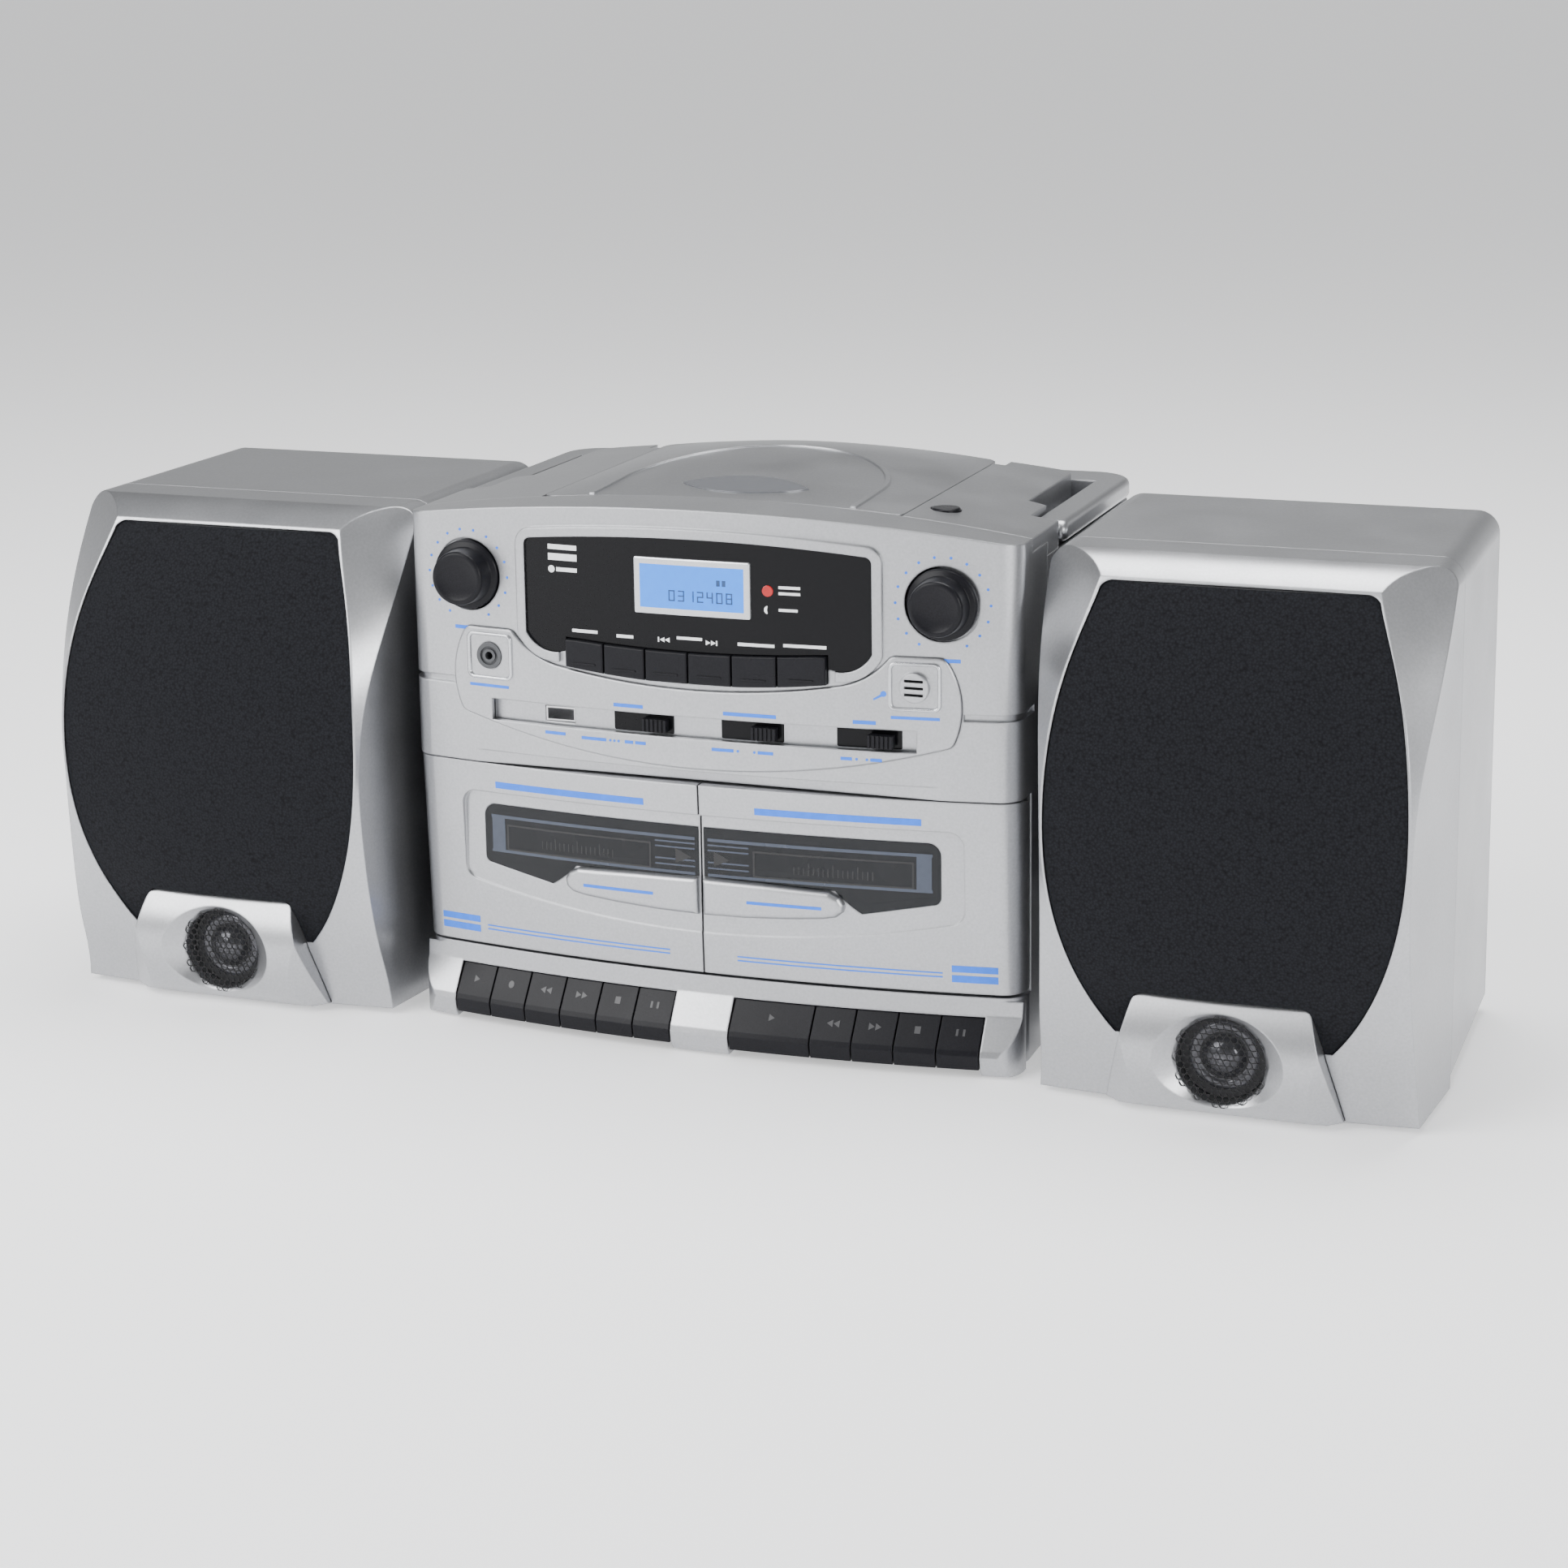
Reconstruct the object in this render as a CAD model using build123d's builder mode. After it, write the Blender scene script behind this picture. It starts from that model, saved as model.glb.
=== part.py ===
"""Boombox with two lift-off speakers, a top-loading disc player and two cassette decks.

Frame: X to the right seen from the front, Y to the back, Z up, millimetres.
The origin is the centre of the bounding box's bottom face, where the feet stand.
"""
import os
from math import sqrt

from build123d import *

os.makedirs("parts", exist_ok=True)

# ---- driving dimensions of the centre unit ----
half_width = 142.0          # centre unit, without the handle arms
front_y = -95.0             # foremost point of its bowed front
bow_depth = 12.0            # how far the front falls back at the sides
joint_y = -40.0             # plane where the front casing meets the rear cabinet
rear_y = 110.0              # back of the rear cabinet
casing_z = 4.0              # underside of the front casing
shelf_z = 222.0             # top of the rear cabinet, where the handle lies
edge_z, crown_z = 234.0, 244.3   # arched top edge of the front, at the sides and in the middle
wall = 2.6
corner = 11.0               # rounding of the upright corners
gap = 0.4                   # ordinary gap between neighbouring pieces

# ---- cassette decks ----
door_low, door_high = 36.4, 122.6
door_recess_y = -64.0       # wall behind the doors
door_back_y = -68.4         # back of the doors, between their outer flanks
deck_face_y = -66.0         # front of the tape decks
tape_front_y = -81.2        # front of the space that a cassette takes
door_front_low, door_front_high = -90.1, -94.0
door_hinge_y, door_hinge_z, door_swing = -88.0, 38.5, 84.5
deck_x = 60.0               # middle of a cassette, from the centre line
hub_z = 87.5
hub_half_spacing = 21.25
window_floor_y = -90.6      # upright floor of the recess round each door's window
key_low, key_high = 4.6, 25.2
lip_low, lip_corner = 1.6, 15.0

# ---- top, disc player and handle ----
lid_half, lid_front, lid_rear = 84.0, -63.0, 82.0
lid_edge_z = 240.8
lid_hinge_y, lid_hinge_z = 77.0, 234.0
disc_y = 8.0                # middle of the disc
cover_front = -63.8
handle_inner, handle_outer = 131.0, 144.5
handle_pivot_y, handle_pivot_z = -14.0, 228.3
handle_half = 4.7           # half the thickness of the bail
grip_inner_y, grip_rear_y = 85.0, 112.0
pivot_radius = 2.5

# ---- speakers ----
speaker_x = 234.2           # middle of a speaker
speaker_half = 85.4
cabinet_front, cabinet_rear = -42.0, 71.6
cabinet_low, cabinet_high = 8.6, 231.8
cabinet_round = 10.0
speaker_wall = 3.0
rail_y, rail_low, rail_high = 20.0, 60.0, 150.0

bow_radius = (half_width**2 + bow_depth**2) / (2 * bow_depth)
bow_y = front_y + bow_radius        # every bowed face is an arc about this centre


def save(piece, label):
    """Label a finished piece and write it."""
    piece.label = label
    export_step(piece, f"parts/{label}.step")


def bowed(z, front, back, left, right, rounding=0.0):
    """Plan of a piece with a bowed front face, drawn at height z."""
    with BuildSketch(Plane.XY.offset(z)) as plan:
        with Locations((0, bow_y)):
            Circle(bow_y - front)
        with Locations(((left + right) / 2, (front + back) / 2 - 20)):
            Rectangle(right - left, back - front + 40, mode=Mode.INTERSECT)
        if rounding:
            reach = max(abs(left), abs(right))
            fillet(plan.vertices().filter_by(lambda v: v.Y < back - 1 and abs(v.X) > reach - 0.1), rounding)
    return plan.sketch


def bow_at(x, front):
    """Y of a bowed face at x, where its foremost point is at front."""
    return bow_y - sqrt((bow_y - front) ** 2 - x**2)


def bowed_block(z_low, z_high, front, back, left, right, rounding=0.0):
    """Upright block with a bowed front face."""
    with BuildPart(mode=Mode.PRIVATE) as block:
        extrude(bowed(z_low, front, back, left, right, rounding), amount=z_high - z_low)
    return block.part


def block(x0, x1, y0, y1, z0, z1):
    """Plain block between two corners."""
    with BuildPart(mode=Mode.PRIVATE) as piece:
        with Locations(((x0 + x1) / 2, (y0 + y1) / 2, (z0 + z1) / 2)):
            Box(abs(x1 - x0), abs(y1 - y0), abs(z1 - z0))
    return piece.part


def rod(x, z, radius, y_front, y_back):
    """Round bar along Y."""
    with BuildPart(mode=Mode.PRIVATE) as piece:
        with BuildSketch(Plane.XZ.offset(-y_back)):
            with Locations((x, z)):
                Circle(radius)
        extrude(amount=y_back - y_front)
    return piece.part


def prism(outline, y_front, y_back):
    """Closed outline in X and Z, pushed through from front to back."""
    with BuildPart(mode=Mode.PRIVATE) as piece:
        with BuildSketch(Plane.XZ.offset(-y_back)):
            add(outline)
        extrude(amount=y_back - y_front)
    return piece.part


# ---------------------------------------------------------------- front outlines
def arch_under(drop=0.0, reach=160.0):
    """Area under the arched top edge of the front."""
    end = edge_z - drop
    with BuildSketch() as area:
        with BuildLine():
            top = ThreePointArc((-half_width, end), (0, crown_z - drop), (half_width, end))
            Polyline(top @ 1, (reach, end), (reach, -10), (-reach, -10), (-reach, end), top @ 0)
        make_face()
    return area.sketch


def panel_outline(grow=0.0):
    """Raised band of the front with two ears, above the cassette doors."""
    with BuildSketch() as area:
        with BuildLine():
            ear = Line((-111, 185.5), (-88, 185.5))
            neck = ThreePointArc(ear @ 1, (-81, 178.5), (-66, 171.5))
            middle = ThreePointArc(neck @ 1, (0, 165.5), (66, 171.5))
            neck_right = ThreePointArc(middle @ 1, (81, 178.5), (88, 185.5))
            ear_right = Line(neck_right @ 1, (111, 185.5))
            flank = ThreePointArc(ear_right @ 1, (118, 166), (114, 147))
            smile = ThreePointArc(flank @ 1, (0, 130.5), (-114, 147))
            ThreePointArc(smile @ 1, (-118, 166), ear @ 0)
        make_face()
        fillet(area.vertices(), 4.0)
        if grow:
            offset(amount=grow)
    return area.sketch


def display_outline(inset=0.0):
    """Display window: arched top, flared lower corners, notched for the disc keys."""
    with BuildSketch() as area:
        with BuildLine():
            top = ThreePointArc((-80, 227.5), (0, 231.6), (80, 227.5))
            right = Line(top @ 1, (80, 186))
            low_right = ThreePointArc(right @ 1, (75, 180.5), (62, 178.4))
            base = Line(low_right @ 1, (-62, 178.4))
            low_left = ThreePointArc(base @ 1, (-75, 180.5), (-80, 186))
            Line(low_left @ 1, top @ 0)
        make_face()
        fillet(area.vertices().group_by(Axis.Y)[-1], 3.0)
        if inset:
            offset(amount=-inset)
    return area.sketch


def disc_key_row():
    """Smile-shaped area that the six disc keys share."""
    with BuildSketch() as area:
        with BuildLine():
            top = ThreePointArc((-60.5, 184.5), (0, 182.2), (60.5, 184.5))
            side = Line(top @ 1, (60.5, 172))
            base = ThreePointArc(side @ 1, (0, 168.3), (-60.5, 172))
            Line(base @ 1, top @ 0)
        make_face()
    return area.sketch


def window_outline(inset=0.0):
    """Black window of the right-hand cassette door, with the tab's bay at its inner end."""
    with BuildSketch() as area:
        with BuildLine():
            top = Line((1.2, 103), (102, 103))
            shoulder = ThreePointArc(top @ 1, (106, 101.2), (107.5, 97))
            side = Line(shoulder @ 1, (107.5, 79))
            low = ThreePointArc(side @ 1, (106.4, 76.3), (104, 75.4))
            slant = Line(low @ 1, (73, 69.4))
            bay = ThreePointArc(slant @ 1, (66.8, 73.6), (61, 79))
            ledge = Line(bay @ 1, (1.2, 80.5))
            Line(ledge @ 1, top @ 0)
        make_face()
        if inset:
            offset(amount=-inset)
    return area.sketch


def recess_outline():
    """Shallow recess round the window of the right-hand door, with a smile-shaped lower edge."""
    with BuildSketch() as area:
        with BuildLine():
            top = Line((-1, 109), (111, 109))
            shoulder = ThreePointArc(top @ 1, (116, 107), (118, 102))
            side = Line(shoulder @ 1, (118, 74))
            low = ThreePointArc(side @ 1, (116.5, 69.5), (112, 67))
            smile = ThreePointArc(low @ 1, (60, 58.5), (-1, 55))
            Line(smile @ 1, top @ 0)
        make_face()
    return area.sketch


knob_x, knob_z = 110.0, 208.7
knob_seat_y = -85.6
knob_base_radius, knob_cap_radius = 15.5, 12.0
knob_shaft_radius = 3.0
jack_x, jack_z = -99.3, 173.1
mic_x, mic_z = 98.4, 172.7
slot_low, slot_high, slot_half = 143.9, 153.6, 99.0
usb_x = -66.2
switch_ranges = ((-39.3, -10.9, "function_switch"), (11.7, 39.7, "dubbing_switch"),
                 (61.9, 91.7, "band_switch"))
strip_front = -92.3         # foremost point of the switch recess's bowed floor
disc_key_edges = (-60.5, -41.7, -22.0, -2.0, 18.0, 38.5, 60.5)
left_key_edges = [-122.6 + 18.1 * i for i in range(7)]
right_key_edges = [13.7, 50.9, 69.6, 88.3, 107.0, 125.7]

# ---------------------------------------------------------------- front casing
with BuildPart() as front_casing:
    add(bowed_block(casing_z, crown_z, front_y, joint_y, -half_width, half_width, corner))
    add(prism(arch_under(), front_y - 10, joint_y + 10), mode=Mode.INTERSECT)
    # lower panel steps back, and the doors take the whole width between it and the upper block
    add(block(-160, 160, -120, joint_y + 1, -1, 34.4)
        - bowed_block(-1, 34.4, -88.0, joint_y + 1, -half_width, half_width, corner), mode=Mode.SUBTRACT)
    add(block(-160, 160, -120, door_recess_y, 34.4, 123.4), mode=Mode.SUBTRACT)
    add(block(-160, 160, -120, -88.0, 123.3, 129.0)
        - bowed_block(123.3, 129.0, front_y + 7, -60, -half_width, half_width), mode=Mode.SUBTRACT)
    # hollow from behind
    inner = half_width - wall
    add(bowed_block(casing_z + wall, 34.4 - wall, -88.0 + wall, joint_y + 1, -inner, inner, corner - wall)
        + block(-inner, inner, door_recess_y + wall, joint_y + 1, casing_z + wall, 240 - wall)
        + bowed_block(126.0, 132.0, front_y + 7 + wall, joint_y + 1, -inner, inner, corner - wall)
        + (bowed_block(131.6, 250, front_y + wall, joint_y + 1, -inner, inner, corner - wall)
           & prism(arch_under(wall), front_y, joint_y + 10)), mode=Mode.SUBTRACT)
    # the top cover and the lid close the top behind this line
    add(block(-160, 160, cover_front, joint_y + 1, 228, 260), mode=Mode.SUBTRACT)
    # seats and holes in the upper block
    add(prism(display_outline(-0.25), -120, -70), mode=Mode.SUBTRACT)
    add(prism(disc_key_row(), -120, -70), mode=Mode.SUBTRACT)
    for side in (-1, 1):
        add(rod(side * knob_x, knob_z, knob_base_radius + 0.8, -120, knob_seat_y), mode=Mode.SUBTRACT)
        add(rod(side * knob_x, knob_z, knob_shaft_radius + 0.3, -120, -70), mode=Mode.SUBTRACT)
        # groove that parts the band from the block above it
        add(block(side * 118.5, side * 160, -120, -60, 158.4, 161.4)
            - bowed_block(158, 162, front_y + 2.0, -50, -half_width + 2, half_width - 2, corner - 2),
            mode=Mode.SUBTRACT)
    add(prism(panel_outline(0.2), -120, -70)
        - bowed_block(100, 200, front_y + 1.2, -60, -half_width, half_width), mode=Mode.SUBTRACT)
    for x, z, radius in ((jack_x, jack_z, 7.0), (mic_x, mic_z, 6.8)):
        add(rod(x, z, radius, -120, -70), mode=Mode.SUBTRACT)
    add(block(-slot_half - 0.5, slot_half + 0.5, -120, -80, slot_low - 0.5, slot_high + 0.5),
        mode=Mode.SUBTRACT)
    # decks: one pocket opening each, behind the door
    for side in (-1, 1):
        add(block(side * deck_x - 54, side * deck_x + 54, -80, -55, 46, 119), mode=Mode.SUBTRACT)
    # raised ring round the display
    add((prism(display_outline(-4.5) - display_outline(-0.25), -120, -70)
         & bowed_block(160, 245, front_y - 1.8, -60, -half_width, half_width))
        - bowed_block(160, 245, front_y + 0.5, -60, -half_width, half_width)
        - block(-64, 64, -120, -60, 150, 186))
    # lip below the doors: it reaches forward beside and between the cassette keys
    with BuildPart(mode=Mode.PRIVATE) as lip:
        with BuildSketch(Plane.YZ):
            with BuildLine():
                Polyline((-84, 33), (-88, 33), (-88.8, key_high + 1), (-97.6, 13.2), (-98.4, 10.5), (-97.4, 4.5),
                         (-95.5, lip_low), (-84, lip_low), (-84, 33))
            make_face()
        revolve(axis=Axis((0, bow_y, 0), (0, 0, 1)), revolution_arc=10.5)
        mirror(about=Plane.YZ)
    add(lip.part & bowed_block(0, 34, front_y - 4, -70, -half_width, half_width, lip_corner))
    # cassette keys
    for left, right in ((left_key_edges[0], left_key_edges[-1]), (right_key_edges[0], right_key_edges[-1])):
        add(block(left - gap, right + gap, -100, -70, 0, key_high + 0.6), mode=Mode.SUBTRACT)
save(front_casing.part, "front_casing")

# ---------------------------------------------------------------- control panel
panel_front = front_y - 1.3
with BuildPart() as control_panel:
    add(prism(panel_outline(), -120, -70))
    add(bowed_block(100, 200, panel_front, -60, -half_width, half_width), mode=Mode.INTERSECT)
    add(bowed_block(100, 200, front_y + 1.1, -60, -half_width, half_width), mode=Mode.SUBTRACT)
    fillet(control_panel.faces().sort_by(Axis.Y)[0].outer_wire().edges(), 0.7)
    add(block(-slot_half, slot_half, -120, -70, slot_low, slot_high), mode=Mode.SUBTRACT)
    add(rod(jack_x, jack_z, 6.0, -120, -70), mode=Mode.SUBTRACT)
    # microphone grille: a boss with three slits
    add(rod(mic_x, mic_z, 6.5, -92.6, -87.0))
    for z in (-3, 0, 3):
        add(block(mic_x - 4.2, mic_x + 4.2, -120, -80, mic_z + z - 0.6, mic_z + z + 0.6), mode=Mode.SUBTRACT)
save(control_panel.part, "control_panel")

# dark strip behind the panel's slot, on which the three switches slide
with BuildPart() as switch_strip:
    add(bowed_block(slot_low - 0.3, slot_high + 0.3, strip_front, -80, -slot_half - 0.3, slot_half + 0.3)
        - bowed_block(100, 200, strip_front + 2.6, -60, -half_width, half_width))
    for left, right, _ in switch_ranges:
        add(block(left + 2, right - 2, -120, -70, 147.4, 149.4), mode=Mode.SUBTRACT)
    add(block(usb_x - 7.3, usb_x + 7.3, -120, -70, 145.0, 152.0), mode=Mode.SUBTRACT)
save(switch_strip.part, "switch_strip")
for left, right, name in switch_ranges:
    knob_centre = right - 8.0
    switch_y = bow_at(min(abs(left), abs(right)), strip_front)
    with BuildPart() as switch:
        add(block(knob_centre - 5.5, knob_centre + 5.5, switch_y - 4.2, switch_y - 0.2, 145.6, 151.2))
        add(block(knob_centre - 2.0, knob_centre + 2.0, switch_y - 0.2, switch_y + 5.0, 147.6, 149.2))
        for i in range(-2, 3):
            add(block(knob_centre + 2 * i - 0.4, knob_centre + 2 * i + 0.4, -100, switch_y - 3.6, 140, 155),
                mode=Mode.SUBTRACT)
    save(switch.part, name)

# ---------------------------------------------------------------- sockets in the panel
with BuildPart() as headphone_jack:
    add(rod(jack_x, jack_z, 5.9, -91.5, -72))
    add(rod(jack_x, jack_z, 1.8, -120, -75), mode=Mode.SUBTRACT)
    add(rod(jack_x, jack_z, 4.2, -120, -90.5) - rod(jack_x, jack_z, 3.0, -121, -89), mode=Mode.SUBTRACT)
save(headphone_jack.part, "headphone_jack")

with BuildPart() as usb_socket:
    add(block(usb_x - 7.0, usb_x + 7.0, -89.0, -72, 145.3, 151.7))
    add(block(usb_x - 6.3, usb_x + 6.3, -95, -74, 146.0, 151.0), mode=Mode.SUBTRACT)
    add(block(usb_x - 5.6, usb_x + 5.6, -80.5, -73, 149.2, 150.4))
save(usb_socket.part, "usb_socket")

# ---------------------------------------------------------------- display
with BuildPart() as display_lens:
    add(prism(display_outline(), -120, -70))
    add(bowed_block(160, 240, front_y - 0.6, -60, -half_width, half_width), mode=Mode.INTERSECT)
    add(bowed_block(160, 240, front_y + 2.2, -60, -half_width, half_width), mode=Mode.SUBTRACT)
    with BuildPart(mode=Mode.PRIVATE) as key_notch:
        add(prism(disc_key_row(), -120, -70))
        offset(amount=0.3, kind=Kind.INTERSECTION)
    add(key_notch.part, mode=Mode.SUBTRACT)
save(display_lens.part, "display_lens")

disc_key_names = ("disc_mode_key", "disc_folder_key", "disc_previous_key", "disc_next_key",
                  "disc_stop_key", "disc_play_key")
for left, right, name in zip(disc_key_edges[:-1], disc_key_edges[1:], disc_key_names):
    with BuildPart() as disc_key:
        add(prism(disc_key_row(), -120, -70))
        add(block(left + 0.3, right - 0.3, -120, -70, 168.7, 184.1), mode=Mode.INTERSECT)
        add(bowed_block(150, 200, front_y - 3.2, -84, -half_width, half_width), mode=Mode.INTERSECT)
        fillet(disc_key.faces().sort_by(Axis.Y)[0].edges(), 0.8)
    save(disc_key.part, name)

# ---------------------------------------------------------------- knobs
for side, name in ((-1, "volume_knob"), (1, "tuning_knob")):
    centre = side * knob_x
    with BuildPart() as knob:
        add(rod(centre, knob_z, knob_base_radius, -89.8, knob_seat_y - 0.4))
        fillet(knob.faces().sort_by(Axis.Y)[0].edges(), 1.2)
        with BuildSketch(Plane.XZ.offset(89.8)):
            with Locations((centre, knob_z)):
                Circle(knob_cap_radius)
        extrude(amount=9.6, taper=3)
        fillet(knob.faces().sort_by(Axis.Y)[0].edges(), 1.2)
        add(rod(centre, knob_z, knob_shaft_radius, knob_seat_y - 1, -74))
    save(knob.part, name)

# ---------------------------------------------------------------- cassette keys
with BuildPart(mode=Mode.PRIVATE) as key_bar:
    with BuildSketch(Plane.YZ):
        with BuildLine():
            Polyline((-64, 15.5), (-64, 21.5), (-84.5, key_high), (-88.2, key_high), (-97.4, 13.2),
                     (-98.3, 11.0), (-97.2, key_low), (-86.5, key_low), (-84.5, 15.5), (-64, 15.5))
        make_face()
    revolve(axis=Axis((0, bow_y, 0), (0, 0, 1)), revolution_arc=10)
    mirror(about=Plane.YZ)

key_names = ("play", "record", "rewind", "forward", "stop", "pause")
for deck, edges in (("left", left_key_edges), ("right", right_key_edges)):
    names = key_names if deck == "left" else ("play", "rewind", "forward", "stop", "pause")
    for left, right, name in zip(edges[:-1], edges[1:], names):
        with BuildPart() as key:
            add(key_bar.part)
            add(block(left + 0.35, right - 0.35, -120, -50, 0, 40), mode=Mode.INTERSECT)
        save(key.part, f"{deck}_{name}_key")

# ---------------------------------------------------------------- cassette doors and decks
for side, deck in ((-1, "left"), (1, "right")):
    x_in, x_out = side * 0.4, side * (half_width - 0.2)
    left, right = min(x_in, x_out), max(x_in, x_out)
    door_ends = [bowed(z, front, door_recess_y - 2.4, left, right, corner)
                 for z, front in ((door_low, door_front_low), (door_high, door_front_high))]
    with BuildPart(mode=Mode.PRIVATE) as door_solid:
        loft(door_ends, ruled=True)
    with BuildPart(mode=Mode.PRIVATE) as tape_space:
        add(block(side * 9.0, side * 111.0, tape_front_y, -60, 51.5, 130))
    window, opening, lens_outline, recess = (
        outline if side > 0 else mirror(outline, about=Plane.YZ)
        for outline in (window_outline(), window_outline(3.0), window_outline(0.15), recess_outline()))
    with BuildPart() as door:
        add(door_solid.part)
        add(block(side * -1, side * 128, door_back_y, -60, 30, 130), mode=Mode.SUBTRACT)
        # hollow behind the skin, leaving two rails and a shelf that hold the cassette
        add(block(side * 113.5, side * 130.0, -76.0, -60, 39, 130), mode=Mode.SUBTRACT)
        add(block(side * 1.8, side * 6.8, -86.0, -60, 30, 130), mode=Mode.SUBTRACT)
        add(tape_space.part, mode=Mode.SUBTRACT)
        add(block(side * 9.0, side * 111.0, -80.0, -60, 38.8, 49.0), mode=Mode.SUBTRACT)
        add(block(side * deck_x - 20, side * deck_x + 20, -80.0, -60, 30, 52), mode=Mode.SUBTRACT)
        # a shallow recess runs round the window, which rests on a ledge round a clear opening
        for outline, floor in ((recess, window_floor_y), (window, window_floor_y + 1.4)):
            add(prism(outline, -120, -78) - bowed_block(40, 120, floor, -60, -half_width, half_width),
                mode=Mode.SUBTRACT)
        add(prism(opening, -120, -60), mode=Mode.SUBTRACT)
        # the top swings clear of the casing above it
        with BuildSketch(Plane.YZ.offset(-half_width)):
            with Locations((door_hinge_y, door_hinge_z)):
                Circle(door_swing)
        extrude(amount=2 * half_width, mode=Mode.INTERSECT)
    save(door.part, f"{deck}_cassette_door")

    with BuildPart() as lens:
        add(prism(lens_outline, -120, -80))
        add(bowed_block(60, 110, window_floor_y - 0.3, -60, -half_width, half_width), mode=Mode.INTERSECT)
        add(bowed_block(60, 110, window_floor_y + 1.3, -60, -half_width, half_width), mode=Mode.SUBTRACT)
    save(lens.part, f"{deck}_door_window")

    centre = side * deck_x
    with BuildPart() as deck_unit:
        add(block(centre - 53.6, centre + 53.6, deck_face_y, deck_face_y + 3, 46.4, 118.6))
        add(block(centre - 50, centre + 50, deck_face_y + 3, -45.5, 52, 112))
        # heads and pinch roller below the hubs, at the tape edge of the cassette
        add(block(centre - 7, centre + 7, -78.5, deck_face_y + 1, 46.6, 54.0))
        add(rod(centre + 14, 50.0, 3.0, -77, deck_face_y + 1))
        for x in (centre - hub_half_spacing, centre + hub_half_spacing):
            add(rod(x, hub_z, 5.2, -70, -54), mode=Mode.SUBTRACT)
        add(rod(centre - hub_half_spacing * side, hub_z, 3.4, -78, -52))
    save(deck_unit.part, f"{deck}_tape_deck")
    with BuildPart() as spindle:
        spindle_x = centre + hub_half_spacing * side
        add(rod(spindle_x, hub_z, 4.8, -68.6, -55))
        add(rod(spindle_x, hub_z, 2.6, -78, -55))
        for i in range(3):
            with Locations(Plane.XZ.offset(73.0)):
                with Locations(Location((spindle_x, hub_z, 0), (0, 0, 120 * i))):
                    with Locations((3.0, 0, 0)):
                        Box(2.0, 1.2, 8.0)
    save(spindle.part, f"{deck}_tape_spindle")

# ---------------------------------------------------------------- rear cabinet
battery_half, battery_low, battery_high = 76.0, 24.0, 74.0
antenna_x, antenna_z, antenna_y = 112.0, 200.0, 107.0
inlet_x, inlet_z = 108.0, 34.0
with BuildPart() as rear_cabinet:
    with BuildSketch(Plane.XY.offset(6)) as cabinet_plan:
        with Locations((0, (joint_y + 0.3 + rear_y) / 2)):
            Rectangle(2 * half_width, rear_y - joint_y - 0.3)
        fillet(cabinet_plan.vertices().group_by(Axis.Y)[-1], corner)
    extrude(amount=shelf_z - 6)
    fillet(rear_cabinet.faces().sort_by(Axis.Z)[0].edges().filter_by(
        lambda edge: edge.center().Y > joint_y + 20), 4)
    inner = half_width - 3.0
    add(block(-inner, inner, joint_y, rear_y - 9.0, 9, shelf_z - 3), mode=Mode.SUBTRACT)
    add(block(-118, 118, joint_y, 81, shelf_z - 10, shelf_z + 1), mode=Mode.SUBTRACT)
    # battery bay, open to the back
    add(block(-battery_half - 2.5, battery_half + 2.5, 36, rear_y - 5, battery_low - 2.5, battery_high + 2.5))
    add(block(-battery_half, battery_half, 38.5, rear_y + 1, battery_low, battery_high), mode=Mode.SUBTRACT)
    # groove for the stowed aerial
    add(block(-118, 122, antenna_y - 4.4, rear_y + 1, antenna_z - 4.5, antenna_z + 4.5), mode=Mode.SUBTRACT)
    # mains inlet
    add(block(inlet_x - 10, inlet_x + 10, rear_y - 9.5, rear_y + 1, inlet_z - 7, inlet_z + 7),
        mode=Mode.SUBTRACT)
    # T-shaped rails that carry the speakers
    for side in (-1, 1):
        add(block(side * (half_width - 1), side * 151.4, rail_y - 3, rail_y + 3, rail_low, rail_high))
        add(block(side * 151.4, side * 154.0, rail_y - 7, rail_y + 7, rail_low, rail_high))
save(rear_cabinet.part, "rear_cabinet")

with BuildPart() as battery_door:
    add(block(-battery_half + gap, battery_half - gap, rear_y - 3.2, rear_y - 0.2,
              battery_low + gap, battery_high - gap))
    for x in (-40, 40):
        add(block(x - 6, x + 6, rear_y - 6.0, rear_y - 3.2, battery_high - 6, battery_high - 2))
    for i in range(5):
        add(block(-12, 12, rear_y - 0.9, rear_y, battery_high - 8 - 2.5 * i, battery_high - 9 - 2.5 * i),
            mode=Mode.SUBTRACT)
save(battery_door.part, "battery_door")

with BuildPart() as mains_inlet:
    add(block(inlet_x - 9.8, inlet_x + 9.8, rear_y - 26, rear_y - 0.4, inlet_z - 6.8, inlet_z + 6.8))
    for x in (-4.2, 4.2):
        with BuildSketch(Plane.XZ.offset(-rear_y)):
            with Locations((inlet_x + x, inlet_z)):
                Circle(4.4)
        extrude(amount=18, mode=Mode.SUBTRACT)
        add(rod(inlet_x + x, inlet_z, 1.2, rear_y - 19, rear_y - 5))
save(mains_inlet.part, "mains_inlet")

with BuildPart() as aerial:
    with BuildSketch(Plane.YZ.offset(-108)):
        with Locations((antenna_y, antenna_z)):
            Circle(1.6)
    extrude(amount=75)
    with BuildSketch(Plane.YZ.offset(-34)):
        with Locations((antenna_y, antenna_z)):
            Circle(2.2)
    extrude(amount=70)
    with BuildSketch(Plane.YZ.offset(35)):
        with Locations((antenna_y, antenna_z)):
            Circle(2.8)
    extrude(amount=antenna_x - 35)
    with BuildSketch(Plane.YZ.offset(-114)):
        with Locations((antenna_y, antenna_z)):
            Circle(2.9)
    extrude(amount=7)
    with Locations((antenna_x, antenna_y - 0.3, antenna_z)):
        Cylinder(3.0, 8.4)
save(aerial.part, "telescopic_aerial")

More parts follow.
